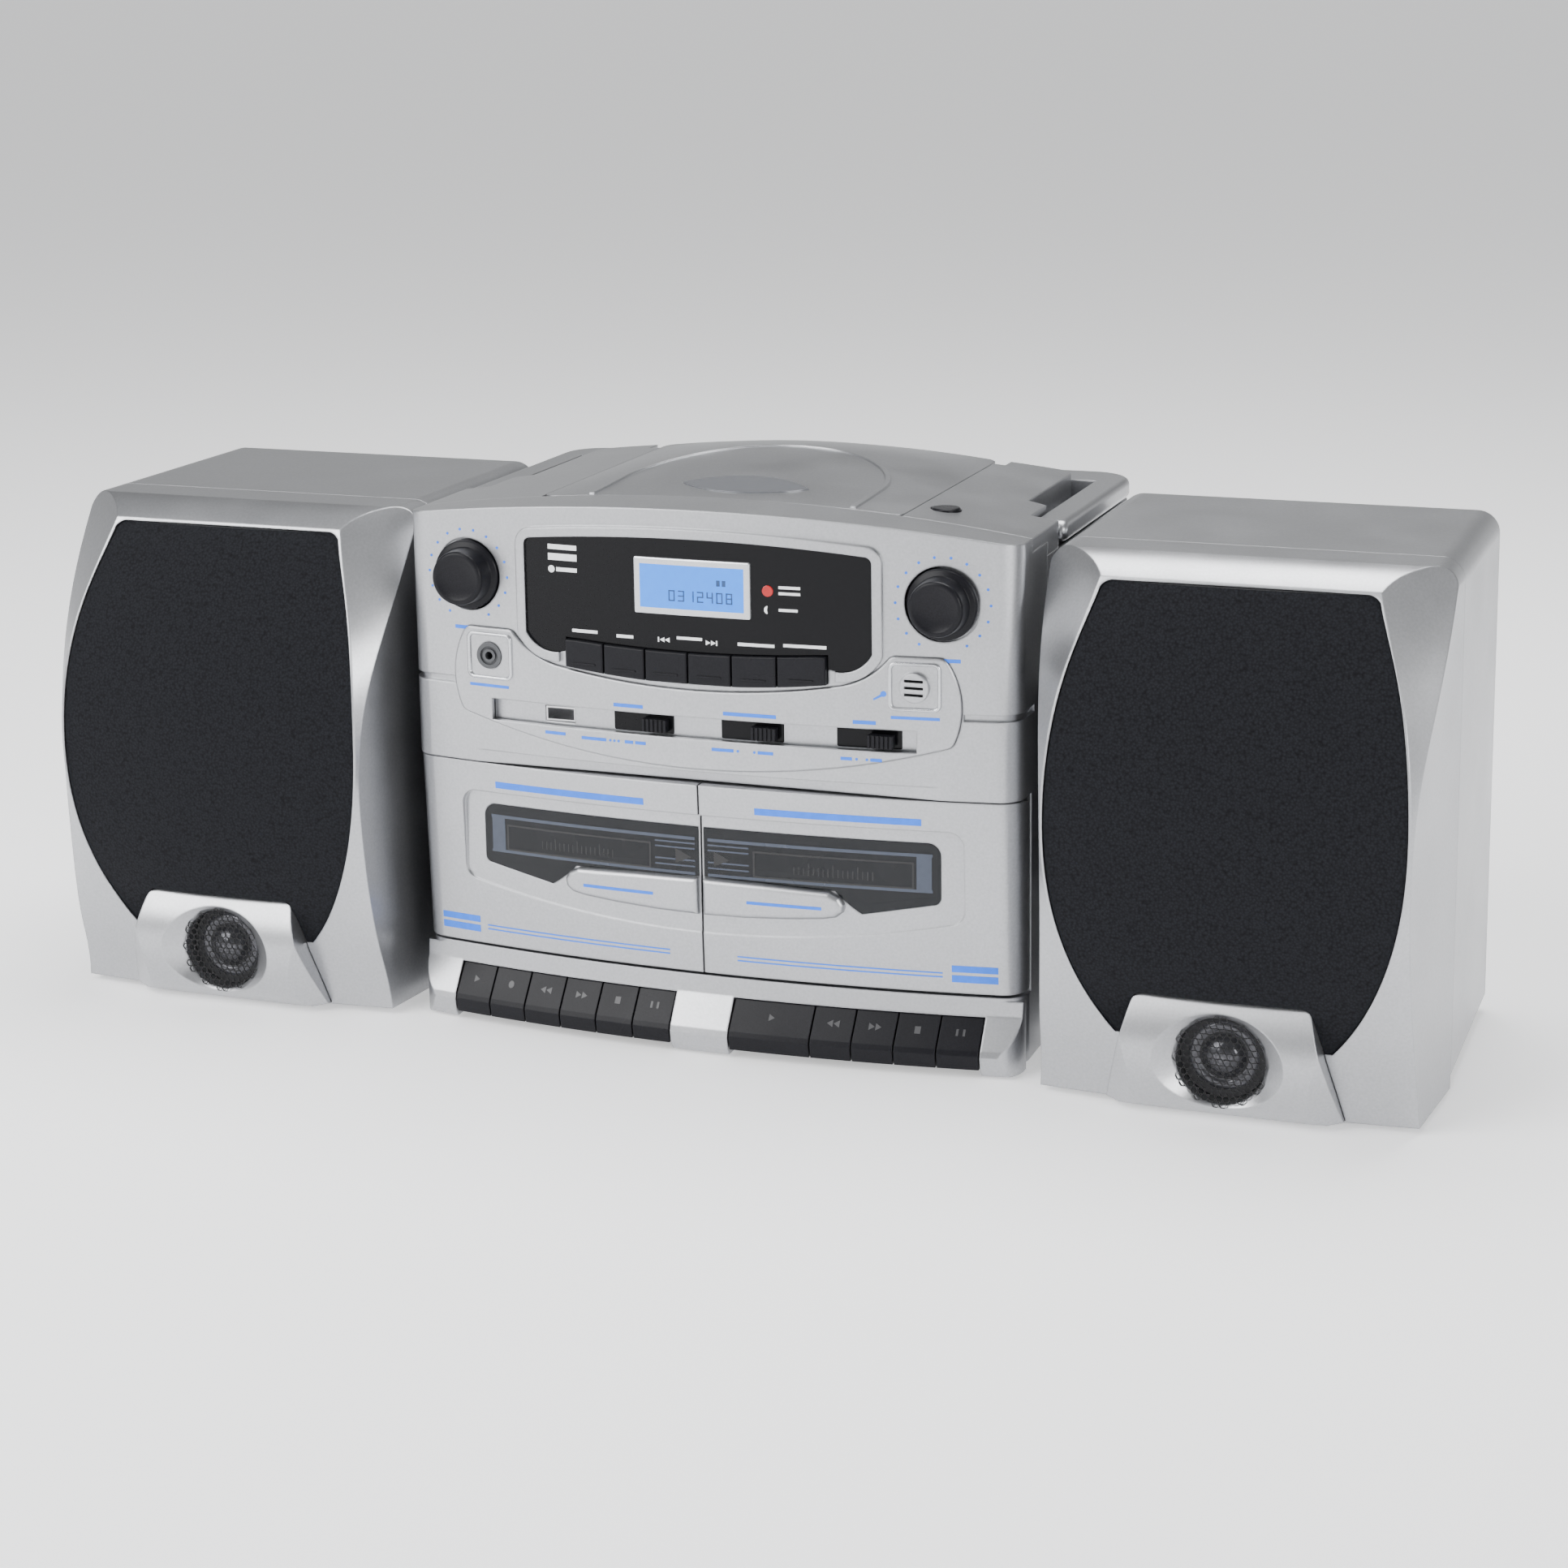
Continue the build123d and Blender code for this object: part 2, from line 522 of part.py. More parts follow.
# ---------------------------------------------------------------- electronics
with BuildPart() as circuit_board:
    add(block(-120, 120, -30, 30, 130, 131.6))
    for x, y, width, depth, height in ((-70, 0, 60, 40, 24), (20, 5, 26, 26, 5), (62, -12, 18, 18, 16),
                                       (86, 14, 14, 14, 20), (-12, -16, 16, 12, 8)):
        add(block(x - width / 2, x + width / 2, y - depth / 2, y + depth / 2, 131.6, 131.6 + height))
    # mains transformer hung below the board
    add(block(62, 114, -26, 26, 92, 130))
    add(block(70, 106, -32, 32, 97, 124))
save(circuit_board.part, "circuit_board")

# ---------------------------------------------------------------- top cover
with BuildPart() as top_cover:
    with BuildSketch(Plane.XY.offset(shelf_z)):
        with BuildLine():
            Polyline((-half_width, cover_front), (half_width, cover_front), (half_width, -22), (129.5, -22),
                     (129.5, 3), (120.5, 6), (120.5, 84), (-120.5, 84), (-120.5, 6), (-129.5, 3),
                     (-129.5, -22), (-half_width, -22), (-half_width, cover_front))
        make_face()
    extrude(amount=30)
    fillet(top_cover.edges().filter_by(Axis.Z).group_by(Axis.Y)[-1], 6)
    add(prism(arch_under(), -70, 90), mode=Mode.INTERSECT)
    # the part in front of the joint stands on the front casing's side walls
    add(block(-160, 160, -80, joint_y + 0.3, 0, 228), mode=Mode.SUBTRACT)
    add(block(-lid_half - 0.4, lid_half + 0.4, -80, lid_rear + 0.4, 200, 260), mode=Mode.SUBTRACT)
    for side in (-1, 1):
        for x0, x1, y0, y1 in ((87, 117.8, 10, 81), (87, 127, -49, 0)):
            add(block(side * x0, side * x1, y0, y1, 200, 231.5), mode=Mode.SUBTRACT)
    add(block(-90, 90, lid_rear - 8, 90, 229.5, 260), mode=Mode.SUBTRACT)
    with Locations((96, -38, 228)):
        Cylinder(6.9, 60, mode=Mode.SUBTRACT)
    for side in (-1, 1):
        with BuildSketch(Plane.YZ.offset(side * 129)):
            with Locations((handle_pivot_y, handle_pivot_z)):
                Circle(pivot_radius)
        extrude(amount=side * 8.5)
save(top_cover.part, "top_cover")

with BuildPart() as disc_well:
    add(block(-lid_half + 0.2, lid_half - 0.2, -60, 70, 223, 235))
    add(block(-lid_half + 0.2, lid_half - 0.2, 70, 81.5, 223, 227.5))
    with Locations((0, disc_y, 235)):
        Cylinder(61.5, 14, mode=Mode.SUBTRACT)
        Cylinder(20, 40, mode=Mode.SUBTRACT)
    add(block(-7, 43, disc_y - 52, disc_y - 10, 200, 240) - block(-7, 43, disc_y - 52, disc_y - 46, 200, 240),
        mode=Mode.SUBTRACT)
    # posts and pins of the lid's hinge
    for x in (-60, 60):
        for post in (x - 6.8, x + 6.8):
            add(block(post - 1.2, post + 1.2, lid_hinge_y - 3, lid_hinge_y + 2.2, 224, lid_hinge_z + 1.9))
        with BuildSketch(Plane.YZ.offset(x - 7)):
            with Locations((lid_hinge_y, lid_hinge_z)):
                Circle(1.5)
        extrude(amount=14)
save(disc_well.part, "disc_well")

with BuildPart() as disc_drive:
    add(block(-30, 48, disc_y - 50, disc_y + 25, 205, 209))
    add(block(8, 30, disc_y - 44, disc_y - 24, 209, 224.5))
    with Locations((19, disc_y - 36, 225.0)):
        Cylinder(3.2, 2.4)
    with Locations((0, disc_y, 207)):
        Cylinder(1.6, 20, mode=Mode.SUBTRACT)
save(disc_drive.part, "disc_drive")

with BuildPart() as disc_spindle:
    with Locations((0, disc_y, 216)):
        Cylinder(1.55, 24)
    with Locations((0, disc_y, 222.5)):
        Cylinder(14.5, 9)
    with Locations((0, disc_y, 229)):
        Cylinder(7.4, 4)
    fillet(disc_spindle.faces().sort_by(Axis.Z)[-1].edges(), 1.5)
save(disc_spindle.part, "disc_spindle")

# ---------------------------------------------------------------- disc lid
lid_stations = ((lid_front, 244.0), (5.0, 249.6), (45.0, 250.6), (lid_rear, 246.0))
lid_base = 236.0


def lid_dome(raise_by, inset, z_low):
    """Domed block: arcs across at four stations, smoothly joined."""
    with BuildPart(mode=Mode.PRIVATE) as dome:
        for y, crown in lid_stations:
            end = max(min(y, lid_rear - inset), lid_front + inset)
            half = lid_half - inset
            with BuildSketch(Plane.XZ.offset(-end)):
                with BuildLine():
                    top = ThreePointArc((-half, lid_edge_z + raise_by), (0, crown + raise_by),
                                        (half, lid_edge_z + raise_by))
                    Polyline(top @ 1, (half, z_low), (-half, z_low), top @ 0)
                make_face()
        loft()
    return dome.part


def eye(inset=0.0):
    """Eye-shaped outline of the lid's window."""
    half, bulge, y = 30.0 - inset, 14.0 - inset, -38.0
    with BuildSketch(Plane.XY.offset(200)) as outline:
        with BuildLine():
            front = ThreePointArc((3 - half, y), (3, y - bulge), (3 + half, y))
            ThreePointArc(front @ 1, (3, y + bulge), front @ 0)
        make_face()
    return outline.sketch


with BuildPart() as disc_lid:
    add(lid_dome(0, 0, lid_base))
    with BuildSketch(Plane.XY.offset(200)):
        with Locations((0, (lid_front + lid_rear) / 2)):
            RectangleRounded(2 * lid_half, lid_rear - lid_front, 5)
    extrude(amount=80, mode=Mode.INTERSECT)
    add(lid_dome(-2.4, 2.4, lid_base - 5), mode=Mode.SUBTRACT)
    # raised arch on top
    with BuildPart(mode=Mode.PRIVATE) as ridge:
        with BuildSketch(Plane.XY.offset(236)):
            with Locations((0, -23)):
                Circle(62.5)
                Circle(60.0, mode=Mode.SUBTRACT)
            with Locations((0, -73)):
                Rectangle(200, 100, mode=Mode.SUBTRACT)
            for x in (-61.25, 61.25):
                with Locations((x, -42)):
                    Rectangle(2.5, 38)
        extrude(amount=20)
        add(lid_dome(0.8, 0.2, 230), mode=Mode.INTERSECT)
        add(lid_dome(-1.0, 0.2, 220), mode=Mode.SUBTRACT)
    add(ridge.part)
    extrude(eye(), amount=60, mode=Mode.SUBTRACT)
    # hinge lugs at the back and the clamp that holds the disc down
    for x in (-60, 60):
        add(block(x - 5, x + 5, lid_hinge_y - 3.2, lid_hinge_y + 2.8, lid_hinge_z, 243))
        with BuildSketch(Plane.YZ.offset(x - 5)):
            with Locations((lid_hinge_y, lid_hinge_z)):
                Circle(3.2)
        extrude(amount=10)
        with BuildSketch(Plane.YZ.offset(x - 6)):
            with Locations((lid_hinge_y, lid_hinge_z)):
                Circle(1.55)
        extrude(amount=12, mode=Mode.SUBTRACT)
    with Locations((0, disc_y, 242)):
        Cylinder(12, 10.5)
    with Locations((0, disc_y, 235)):
        Cylinder(8.2, 6, mode=Mode.SUBTRACT)
save(disc_lid.part, "disc_lid")

with BuildPart() as lid_window:
    extrude(eye(0.2), amount=60)
    add(lid_dome(0.5, 0.2, 230), mode=Mode.INTERSECT)
    add(lid_dome(-2.0, 0.2, 220), mode=Mode.SUBTRACT)
save(lid_window.part, "lid_window")

with BuildPart() as open_button:
    with Locations((96, -38, 233)):
        Cylinder(6.5, 15)
    with BuildSketch(Plane.XY.offset(220)):
        with Locations((96, -38)):
            Circle(8.5)
    extrude(amount=5.6)
    fillet(open_button.faces().sort_by(Axis.Z)[-1].edges(), 1.2)
save(open_button.part, "open_button")

# ---------------------------------------------------------------- handle
with BuildPart() as handle:
    with BuildSketch(Plane.XY.offset(handle_pivot_z - handle_half)) as bail:
        with Locations((0, (handle_pivot_y + grip_rear_y) / 2)):
            Rectangle(2 * handle_outer, grip_rear_y - handle_pivot_y)
        fillet(bail.vertices().group_by(Axis.Y)[-1], 20)
        with Locations((0, (handle_pivot_y + grip_inner_y) / 2 - 5)):
            Rectangle(2 * handle_inner, grip_inner_y - handle_pivot_y + 10, mode=Mode.SUBTRACT)
    extrude(amount=2 * handle_half)
    for side in (-1, 1):
        with BuildSketch(Plane.YZ.offset(side * handle_inner)):
            with Locations((handle_pivot_y, handle_pivot_z)):
                Circle(handle_half)
        extrude(amount=side * (handle_outer - handle_inner))
    fillet(handle.edges().filter_by(GeomType.LINE).filter_by(Axis.X).group_by(Axis.Y)[-1], 3)
    for side in (-1, 1):
        with BuildSketch(Plane.YZ.offset(side * 130)):
            with Locations((handle_pivot_y, handle_pivot_z)):
                Circle(pivot_radius + 0.05)
        extrude(amount=side * 8, mode=Mode.SUBTRACT)
save(handle.part, "carrying_handle")

with BuildPart() as feet:
    for x in (-111, 111):
        with Locations((x, -65, 2.0)):
            Cylinder(8, 4)
        with Locations((x, 88, 3.0)):
            Cylinder(8, 6)
save(feet.part, "rubber_feet")

# ---------------------------------------------------------------- speakers
# height, half-width and depth of the bezel's crease, half-width and depth of the grille's edge
bezel_stations = ((3.0, 80.2, -91.5, 40.0, -94.0), (34.0, 78.6, -98.8, 45.5, -100.0),
                  (60.0, 77.4, -104.0, 62.0, -105.0), (90.0, 76.6, -107.2, 71.6, -108.6),
                  (120.0, 76.8, -107.8, 75.0, -109.0), (150.0, 78.6, -102.6, 74.2, -106.5),
                  (179.0, 82.0, -89.6, 70.1, -99.5), (204.0, 84.4, -74.0, 63.0, -90.0),
                  (223.4, 85.2, -60.5, 57.1, -81.0), (233.0, 85.3, -53.5, 54.2, -76.0))
grille_lip = 0.8            # how far the bezel stands out round the grille
grille_top = 222.6
grille_bulge, grille_thickness = 3.0, 3.2
woofer_z, woofer_radius = 134.0, 58.0
tweeter_z, tweeter_radius = 27.4, 18.75
pod_face_z, pod_face_radius = 39.0, 41.0     # round face of the pod, from which its skirt falls back


def bezel_loft(x, stations, inset):
    """Solid between the seam and the faceted front, taken in by inset."""
    seam_y, seam_half = cabinet_front - gap, speaker_half - inset
    with BuildPart(mode=Mode.PRIVATE) as solid:
        for z, half, crease, grille_half, front in stations:
            lip_half, lip_y = grille_half + grille_lip - inset, front - grille_lip + inset
            with BuildSketch(Plane.XY.offset(z)):
                with Locations((x, 0)):
                    Polygon((-seam_half, seam_y), (-half + inset, crease + inset), (-lip_half, lip_y),
                            (lip_half, lip_y), (half - inset, crease + inset), (seam_half, seam_y), align=None)
        loft()
    return solid.part


def grille_loft(x, inset, y_shift, bulge, thickness):
    """Barrel-shaped plate that follows the grille's edge, with round upper corners."""
    with BuildPart(mode=Mode.PRIVATE) as solid:
        for z, _, _, half, front in bezel_stations[1:-1]:
            level = min(z, grille_top - inset)
            with BuildSketch(Plane.XY.offset(level)):
                with BuildLine():
                    face = ThreePointArc((x - half + inset, front + y_shift),
                                         (x, front + y_shift - bulge),
                                         (x + half - inset, front + y_shift))
                    Polyline(face @ 1, (x + half - inset, front + y_shift + thickness),
                             (x - half + inset, front + y_shift + thickness), face @ 0)
                make_face()
        loft()
        with BuildSketch(Plane.XZ.offset(20)) as crown:
            half = bezel_stations[-2][3] - inset
            with Locations((x, 0)):
                Polygon((-half, grille_top - inset), (-half - 14, grille_top - 40), (-90, 100), (-90, 20),
                        (90, 20), (90, 100), (half + 14, grille_top - 40), (half, grille_top - inset), align=None)
            fillet(crown.vertices().group_by(Axis.Z)[-1], 7.0 - inset)
        extrude(amount=110, mode=Mode.INTERSECT)
    return solid.part


def pod_outline(x, grow=0.0):
    """Trapezoid that widens to the bottom, seen from the front."""
    with BuildSketch() as outline:
        with BuildLine():
            top = Line((x - 36.8, 53.6), (x + 36.8, 53.6))
            right = Line(top @ 1, (x + 50, 4))
            sag = ThreePointArc(right @ 1, (x, 0.2), (x - 50, 4))
            Line(sag @ 1, top @ 0)
        make_face()
        fillet(outline.vertices().group_by(Axis.Y)[-1], 5.0)
        if grow:
            offset(amount=grow)
    return outline.sketch


def save_pair(piece, part):
    """Write a piece of the right speaker, and its mirror image for the left one."""
    save(piece, f"right_{part}")
    save(mirror(piece, about=Plane.YZ), f"left_{part}")


x = speaker_x
inner_face = speaker_x - speaker_half
with BuildPart() as cabinet:
    add(block(x - speaker_half, x + speaker_half, cabinet_front, cabinet_rear, cabinet_low, cabinet_high))
    fillet(cabinet.edges().filter_by(Axis.Y).group_by(Axis.Z)[-1], cabinet_round)
    fillet(cabinet.faces().sort_by(Axis.Y)[-1].edges(), 6)
    inner = speaker_half - speaker_wall
    add(block(x - inner, x + inner, cabinet_front, cabinet_rear - speaker_wall,
              cabinet_low + speaker_wall, cabinet_high - 12), mode=Mode.SUBTRACT)
    add(block(x - inner + 9, x + inner - 9, cabinet_front, cabinet_rear - speaker_wall,
              100, cabinet_high - speaker_wall), mode=Mode.SUBTRACT)
    # channel for the rail
    add(block(inner_face, inner_face + 9, rail_y - 12, rail_y + 12, cabinet_low, rail_high + 8))
    add(block(inner_face - 1, inner_face + 3, rail_y - 3.6, rail_y + 3.6, 0, rail_high + 0.5),
        mode=Mode.SUBTRACT)
    add(block(inner_face + 2.2, inner_face + 5.8, rail_y - 7.6, rail_y + 7.6,
              0, rail_high + 0.5), mode=Mode.SUBTRACT)
    for u in (-66, 66):
        for y in (-28, 56):
            with Locations((x + u, y, cabinet_low / 2 + 0.5)):
                Cylinder(7.5, cabinet_low + 1)
save_pair(cabinet.part, "speaker_cabinet")

with BuildPart() as bezel:
    add(bezel_loft(x, bezel_stations, 0))
    # rounded brow over the grille, and the cabinet's round upper edges
    with BuildSketch(Plane.YZ.offset(x - 90)):
        with BuildLine():
            brow = ThreePointArc((-82.5, 223.0), (-73, 229.0), (-52, cabinet_high))
            Polyline(brow @ 1, (-40, cabinet_high), (-40, 0), (-130, 0), (-130, 223.0), brow @ 0)
        make_face()
    extrude(amount=180, mode=Mode.INTERSECT)
    with BuildSketch(Plane.XZ.offset(30)) as cabinet_outline:
        with Locations((x, cabinet_high / 2 - 5)):
            Rectangle(2 * speaker_half, cabinet_high + 10)
        fillet(cabinet_outline.vertices().group_by(Axis.Z)[-1], cabinet_round)
    extrude(amount=100, mode=Mode.INTERSECT)
    add(bezel_loft(x, ((3.0 + speaker_wall, *bezel_stations[0][1:]),) + bezel_stations[1:-2], 3.2),
        mode=Mode.SUBTRACT)
    add(block(x - 54, x + 54, -57, cabinet_front + 5, 180, cabinet_high - 4), mode=Mode.SUBTRACT)
    add(grille_loft(x, 0, -2, 6, 60), mode=Mode.SUBTRACT)
    # inner plate that carries the woofer
    add(block(x - 82, x + 82, -60, -56, 62, 205) & bezel_loft(x, bezel_stations, 1.0))
    with BuildSketch(Plane.XZ.offset(50)):
        with Locations((x, woofer_z)):
            Circle(woofer_radius - 6)
    extrude(amount=20, mode=Mode.SUBTRACT)
    add(prism(pod_outline(x, 0.3), -130, -60), mode=Mode.SUBTRACT)
save_pair(bezel.part, "speaker_bezel")

with BuildPart() as grille:
    add(grille_loft(x, 0.5, 0, grille_bulge, grille_thickness))
    add(prism(pod_outline(x, 0.3), -130, -60), mode=Mode.SUBTRACT)
save_pair(grille.part, "speaker_grille")

with BuildPart() as pod:
    with BuildSketch(Plane.YZ.offset(x - 60)):
        with BuildLine():
            brow = Line((-80, 53.6), (-103.5, 53.6))
            nose = ThreePointArc(brow @ 1, (-112, 29), (-107.5, 11))
            chin = ThreePointArc(nose @ 1, (-101, 3.5), (-91, 0.2))
            Polyline(chin @ 1, (-80, 0.2), brow @ 0)
        make_face()
    extrude(amount=120)
    add(prism(pod_outline(x), -130, -60), mode=Mode.INTERSECT)
    with Locations(Location((x, -97, pod_face_z), (90, 0, 0))):
        Cone(pod_face_radius + 43.0, pod_face_radius - 3.0, 34, mode=Mode.INTERSECT)
    # flared mouth of the tweeter
    with BuildSketch(Plane.XZ.offset(104.5)):
        with Locations((x, tweeter_z)):
            Circle(tweeter_radius)
    extrude(amount=10, taper=-50, mode=Mode.SUBTRACT)
    with BuildSketch(Plane.XZ.offset(60)):
        with Locations((x, tweeter_z)):
            Circle(tweeter_radius)
    extrude(amount=45, mode=Mode.SUBTRACT)
    add(block(x - 46, x + 46, -88, -70, 3, 10), mode=Mode.SUBTRACT)
save_pair(pod.part, "tweeter_pod")

with BuildPart() as drivers:
    # woofer: frame ring, cone, dust cap, basket and magnet on one axis
    with Locations(Location((x, -62.5, woofer_z), (90, 0, 0))):
        Cylinder(woofer_radius, 4)
        Cylinder(woofer_radius - 7, 4, mode=Mode.SUBTRACT)
    with Locations(Location((x, -51, woofer_z), (90, 0, 0))):
        Cone(20, woofer_radius - 6.5, 19)
        with Locations((0, 0, 2.5)):
            Cone(18, woofer_radius - 7, 19, mode=Mode.SUBTRACT)
    with Locations(Location((x, -31, woofer_z), (90, 0, 0))):
        Cylinder(34, 24)
    with Locations(Location((x, -48, woofer_z), (90, 0, 0))):
        Cone(20, 12, 12)
    # tweeter: magnet, face plate and dome
    with Locations(Location((x, -82, tweeter_z), (90, 0, 0))):
        Cylinder(tweeter_radius - 0.4, 30)
    with Locations(Location((x, -98.4, tweeter_z), (90, 0, 0))):
        Cone(9.0, 5.5, 3)
save_pair(drivers.part, "speaker_drivers")
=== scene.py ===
import math

import bmesh
import bpy
from mathutils import Matrix, Vector


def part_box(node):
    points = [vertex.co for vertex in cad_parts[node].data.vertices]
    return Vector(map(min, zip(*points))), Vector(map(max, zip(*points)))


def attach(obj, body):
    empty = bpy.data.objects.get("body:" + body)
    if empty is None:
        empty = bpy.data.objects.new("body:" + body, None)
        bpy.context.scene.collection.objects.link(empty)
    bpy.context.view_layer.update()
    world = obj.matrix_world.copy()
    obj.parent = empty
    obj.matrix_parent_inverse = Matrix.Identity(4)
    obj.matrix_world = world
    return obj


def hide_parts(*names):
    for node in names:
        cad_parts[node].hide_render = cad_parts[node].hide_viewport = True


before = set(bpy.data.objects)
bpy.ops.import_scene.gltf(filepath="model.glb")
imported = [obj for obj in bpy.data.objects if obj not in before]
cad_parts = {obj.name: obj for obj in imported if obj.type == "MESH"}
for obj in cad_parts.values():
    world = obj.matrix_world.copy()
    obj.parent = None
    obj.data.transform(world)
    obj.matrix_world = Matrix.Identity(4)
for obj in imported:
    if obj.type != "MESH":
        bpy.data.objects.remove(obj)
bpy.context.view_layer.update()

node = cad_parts
mm = 0.001

# ------------------------------------------------------------------ floor, light and camera
# A pale, faintly glowing floor without a wall behind it, a grey sky that is brightest near the
# horizon, three soft panels of light, and a view from the right and a little above. None of these
# belong to the set.
floor_half = 40.0
floor_mesh = bpy.data.meshes.new("floor")
floor_bm = bmesh.new()
bmesh.ops.create_grid(floor_bm, x_segments=1, y_segments=1, size=floor_half)
floor_bm.to_mesh(floor_mesh)
floor_bm.free()
floor = bpy.data.objects.new("floor", floor_mesh)
bpy.context.scene.collection.objects.link(floor)
floor_paint = bpy.data.materials.new("floor_paint")
floor_paint.use_nodes = True
floor_shader = floor_paint.node_tree.nodes["Principled BSDF"]
floor_shader.inputs["Base Color"].default_value = (0.90, 0.90, 0.91, 1)
floor_shader.inputs["Emission Color"].default_value = (1, 1, 1, 1)
floor_shader.inputs["Emission Strength"].default_value = 0.55
floor_shader.inputs["Roughness"].default_value = 0.75
floor.data.materials.append(floor_paint)

world = bpy.data.worlds.new("studio")
bpy.context.scene.world = world
world.use_nodes = True
sky_nodes, sky_links = world.node_tree.nodes, world.node_tree.links
sky_place = sky_nodes.new("ShaderNodeTexCoord")
sky_axes = sky_nodes.new("ShaderNodeSeparateXYZ")
sky_height = sky_nodes.new("ShaderNodeMapRange")
sky_height.inputs["From Min"].default_value = -1.0
sky_ramp = sky_nodes.new("ShaderNodeValToRGB")
sky_shades = sky_ramp.color_ramp.elements
sky_shades[0].color = (0.10, 0.10, 0.10, 1)
sky_shades[1].color = (0.55, 0.56, 0.58, 1)
for stop, grey in ((0.49, 0.85), (0.56, 0.85), (0.64, 0.18), (0.8, 0.25)):
    sky_shades.new(stop).color = (grey * 0.98, grey * 0.99, grey, 1)
sky_links.new(sky_place.outputs["Generated"], sky_axes.inputs["Vector"])
sky_links.new(sky_axes.outputs["Z"], sky_height.inputs["Value"])
sky_links.new(sky_height.outputs["Result"], sky_ramp.inputs["Fac"])
sky_links.new(sky_ramp.outputs["Color"], sky_nodes["Background"].inputs["Color"])


def soft_light(name, place, aim, width, power):
    """Square panel of light that faces a point."""
    lamp = bpy.data.lights.new(name, "AREA")
    lamp.shape = "SQUARE"
    lamp.size = width
    lamp.energy = power
    panel = bpy.data.objects.new(name, lamp)
    panel.location = place
    panel.rotation_euler = (Vector(aim) - Vector(place)).to_track_quat("-Z", "Y").to_euler()
    bpy.context.scene.collection.objects.link(panel)


soft_light("key_light", (-1.2, -1.5, 1.4), (0, 0, 0.12), 1.7, 74)
soft_light("fill_light", (1.9, -1.2, 0.7), (0, 0, 0.12), 0.8, 26)
soft_light("top_light", (0.1, 0.4, 1.7), (0, 0, 0.15), 1.1, 34)

view_turn, view_drop, view_tilt = math.radians(19.665), math.radians(11.195), math.radians(-0.63)
view_place = (0.4857, -1.284, 0.4831)
back = Vector((math.sin(view_turn) * math.cos(view_drop), -math.cos(view_turn) * math.cos(view_drop),
               math.sin(view_drop)))
level = Vector((math.cos(view_turn), math.sin(view_turn), 0))
upright = back.cross(level)
right = math.cos(view_tilt) * level + math.sin(view_tilt) * upright
up = math.cos(view_tilt) * upright - math.sin(view_tilt) * level
lens = bpy.data.cameras.new("camera")
lens.lens = 70.32
lens.shift_x, lens.shift_y = -0.0266, -0.1532
camera = bpy.data.objects.new("camera", lens)
view_axes = Matrix((right, up, back)).transposed().to_4x4()
camera.matrix_world = Matrix.Translation(view_place) @ view_axes
bpy.context.scene.collection.objects.link(camera)
bpy.context.scene.camera = camera

# ------------------------------------------------------------------ silver shells
# The casings, doors, lid and bezels are injection-moulded plastic sprayed in metallic silver.
# The paint is satin, with a fine sparkle, and varies a little from place to place.


def moulded(name, colour, variation=0.04, metallic=0.0, rough=(0.34, 0.46), grain=900.0, relief=0.05,
            coat=0.0, edge=0.0, shine=0.5):
    """Plastic with a fine grain: colour, gloss and relief vary by noise in the object's own space.

    Edges look rounded by the radius given as edge, in metres."""
    material = bpy.data.materials.new(name)
    material.use_nodes = True
    nodes, links = material.node_tree.nodes, material.node_tree.links
    shader = nodes["Principled BSDF"]
    shader.inputs["Metallic"].default_value = metallic
    shader.inputs["Specular IOR Level"].default_value = shine
    shader.inputs["Coat Weight"].default_value = coat
    shader.inputs["Coat Roughness"].default_value = 0.08
    place = nodes.new("ShaderNodeTexCoord")
    cloud = nodes.new("ShaderNodeTexNoise")
    cloud.inputs["Scale"].default_value = 26.0
    cloud.inputs["Detail"].default_value = 4.0
    fine = nodes.new("ShaderNodeTexNoise")
    fine.inputs["Scale"].default_value = grain
    fine.inputs["Detail"].default_value = 2.0
    links.new(place.outputs["Object"], cloud.inputs["Vector"])
    links.new(place.outputs["Object"], fine.inputs["Vector"])
    ramp = nodes.new("ShaderNodeValToRGB")
    ramp.color_ramp.elements[0].position = 0.3
    ramp.color_ramp.elements[1].position = 0.7
    ramp.color_ramp.elements[0].color = (*[c * (1 - variation) for c in colour], 1)
    ramp.color_ramp.elements[1].color = (*[min(1, c * (1 + variation)) for c in colour], 1)
    links.new(fine.outputs["Fac"], ramp.inputs["Fac"])
    links.new(ramp.outputs["Color"], shader.inputs["Base Color"])
    gloss = nodes.new("ShaderNodeMapRange")
    gloss.inputs["From Min"].default_value = 0.3
    gloss.inputs["From Max"].default_value = 0.7
    gloss.inputs["To Min"].default_value = rough[0]
    gloss.inputs["To Max"].default_value = rough[1]
    links.new(cloud.outputs["Fac"], gloss.inputs["Value"])
    links.new(gloss.outputs["Result"], shader.inputs["Roughness"])
    bump = nodes.new("ShaderNodeBump")
    bump.inputs["Strength"].default_value = relief
    bump.inputs["Distance"].default_value = 0.0004
    links.new(fine.outputs["Fac"], bump.inputs["Height"])
    links.new(bump.outputs["Normal"], shader.inputs["Normal"])
    if edge:
        softened = nodes.new("ShaderNodeBevel")
        softened.samples = 4
        softened.inputs["Radius"].default_value = edge
        links.new(softened.outputs["Normal"], bump.inputs["Normal"])
    return material


def finish_nodes(material, *names):
    """Give CAD nodes their finish."""
    for name in names:
        node[name].data.materials.clear()
        node[name].data.materials.append(material)


silver = moulded("silver_paint", (0.42, 0.425, 0.44), 0.06, metallic=0.94, rough=(0.30, 0.37), edge=0.0011)
sides = ("left", "right")
finish_nodes(silver, "front_casing", "control_panel", "switch_strip", "rear_cabinet", "top_cover", "disc_lid",
             "battery_door", "carrying_handle",
             *[f"{side}_{part}" for side in sides
               for part in ("cassette_door", "speaker_cabinet", "speaker_bezel", "tweeter_pod")])

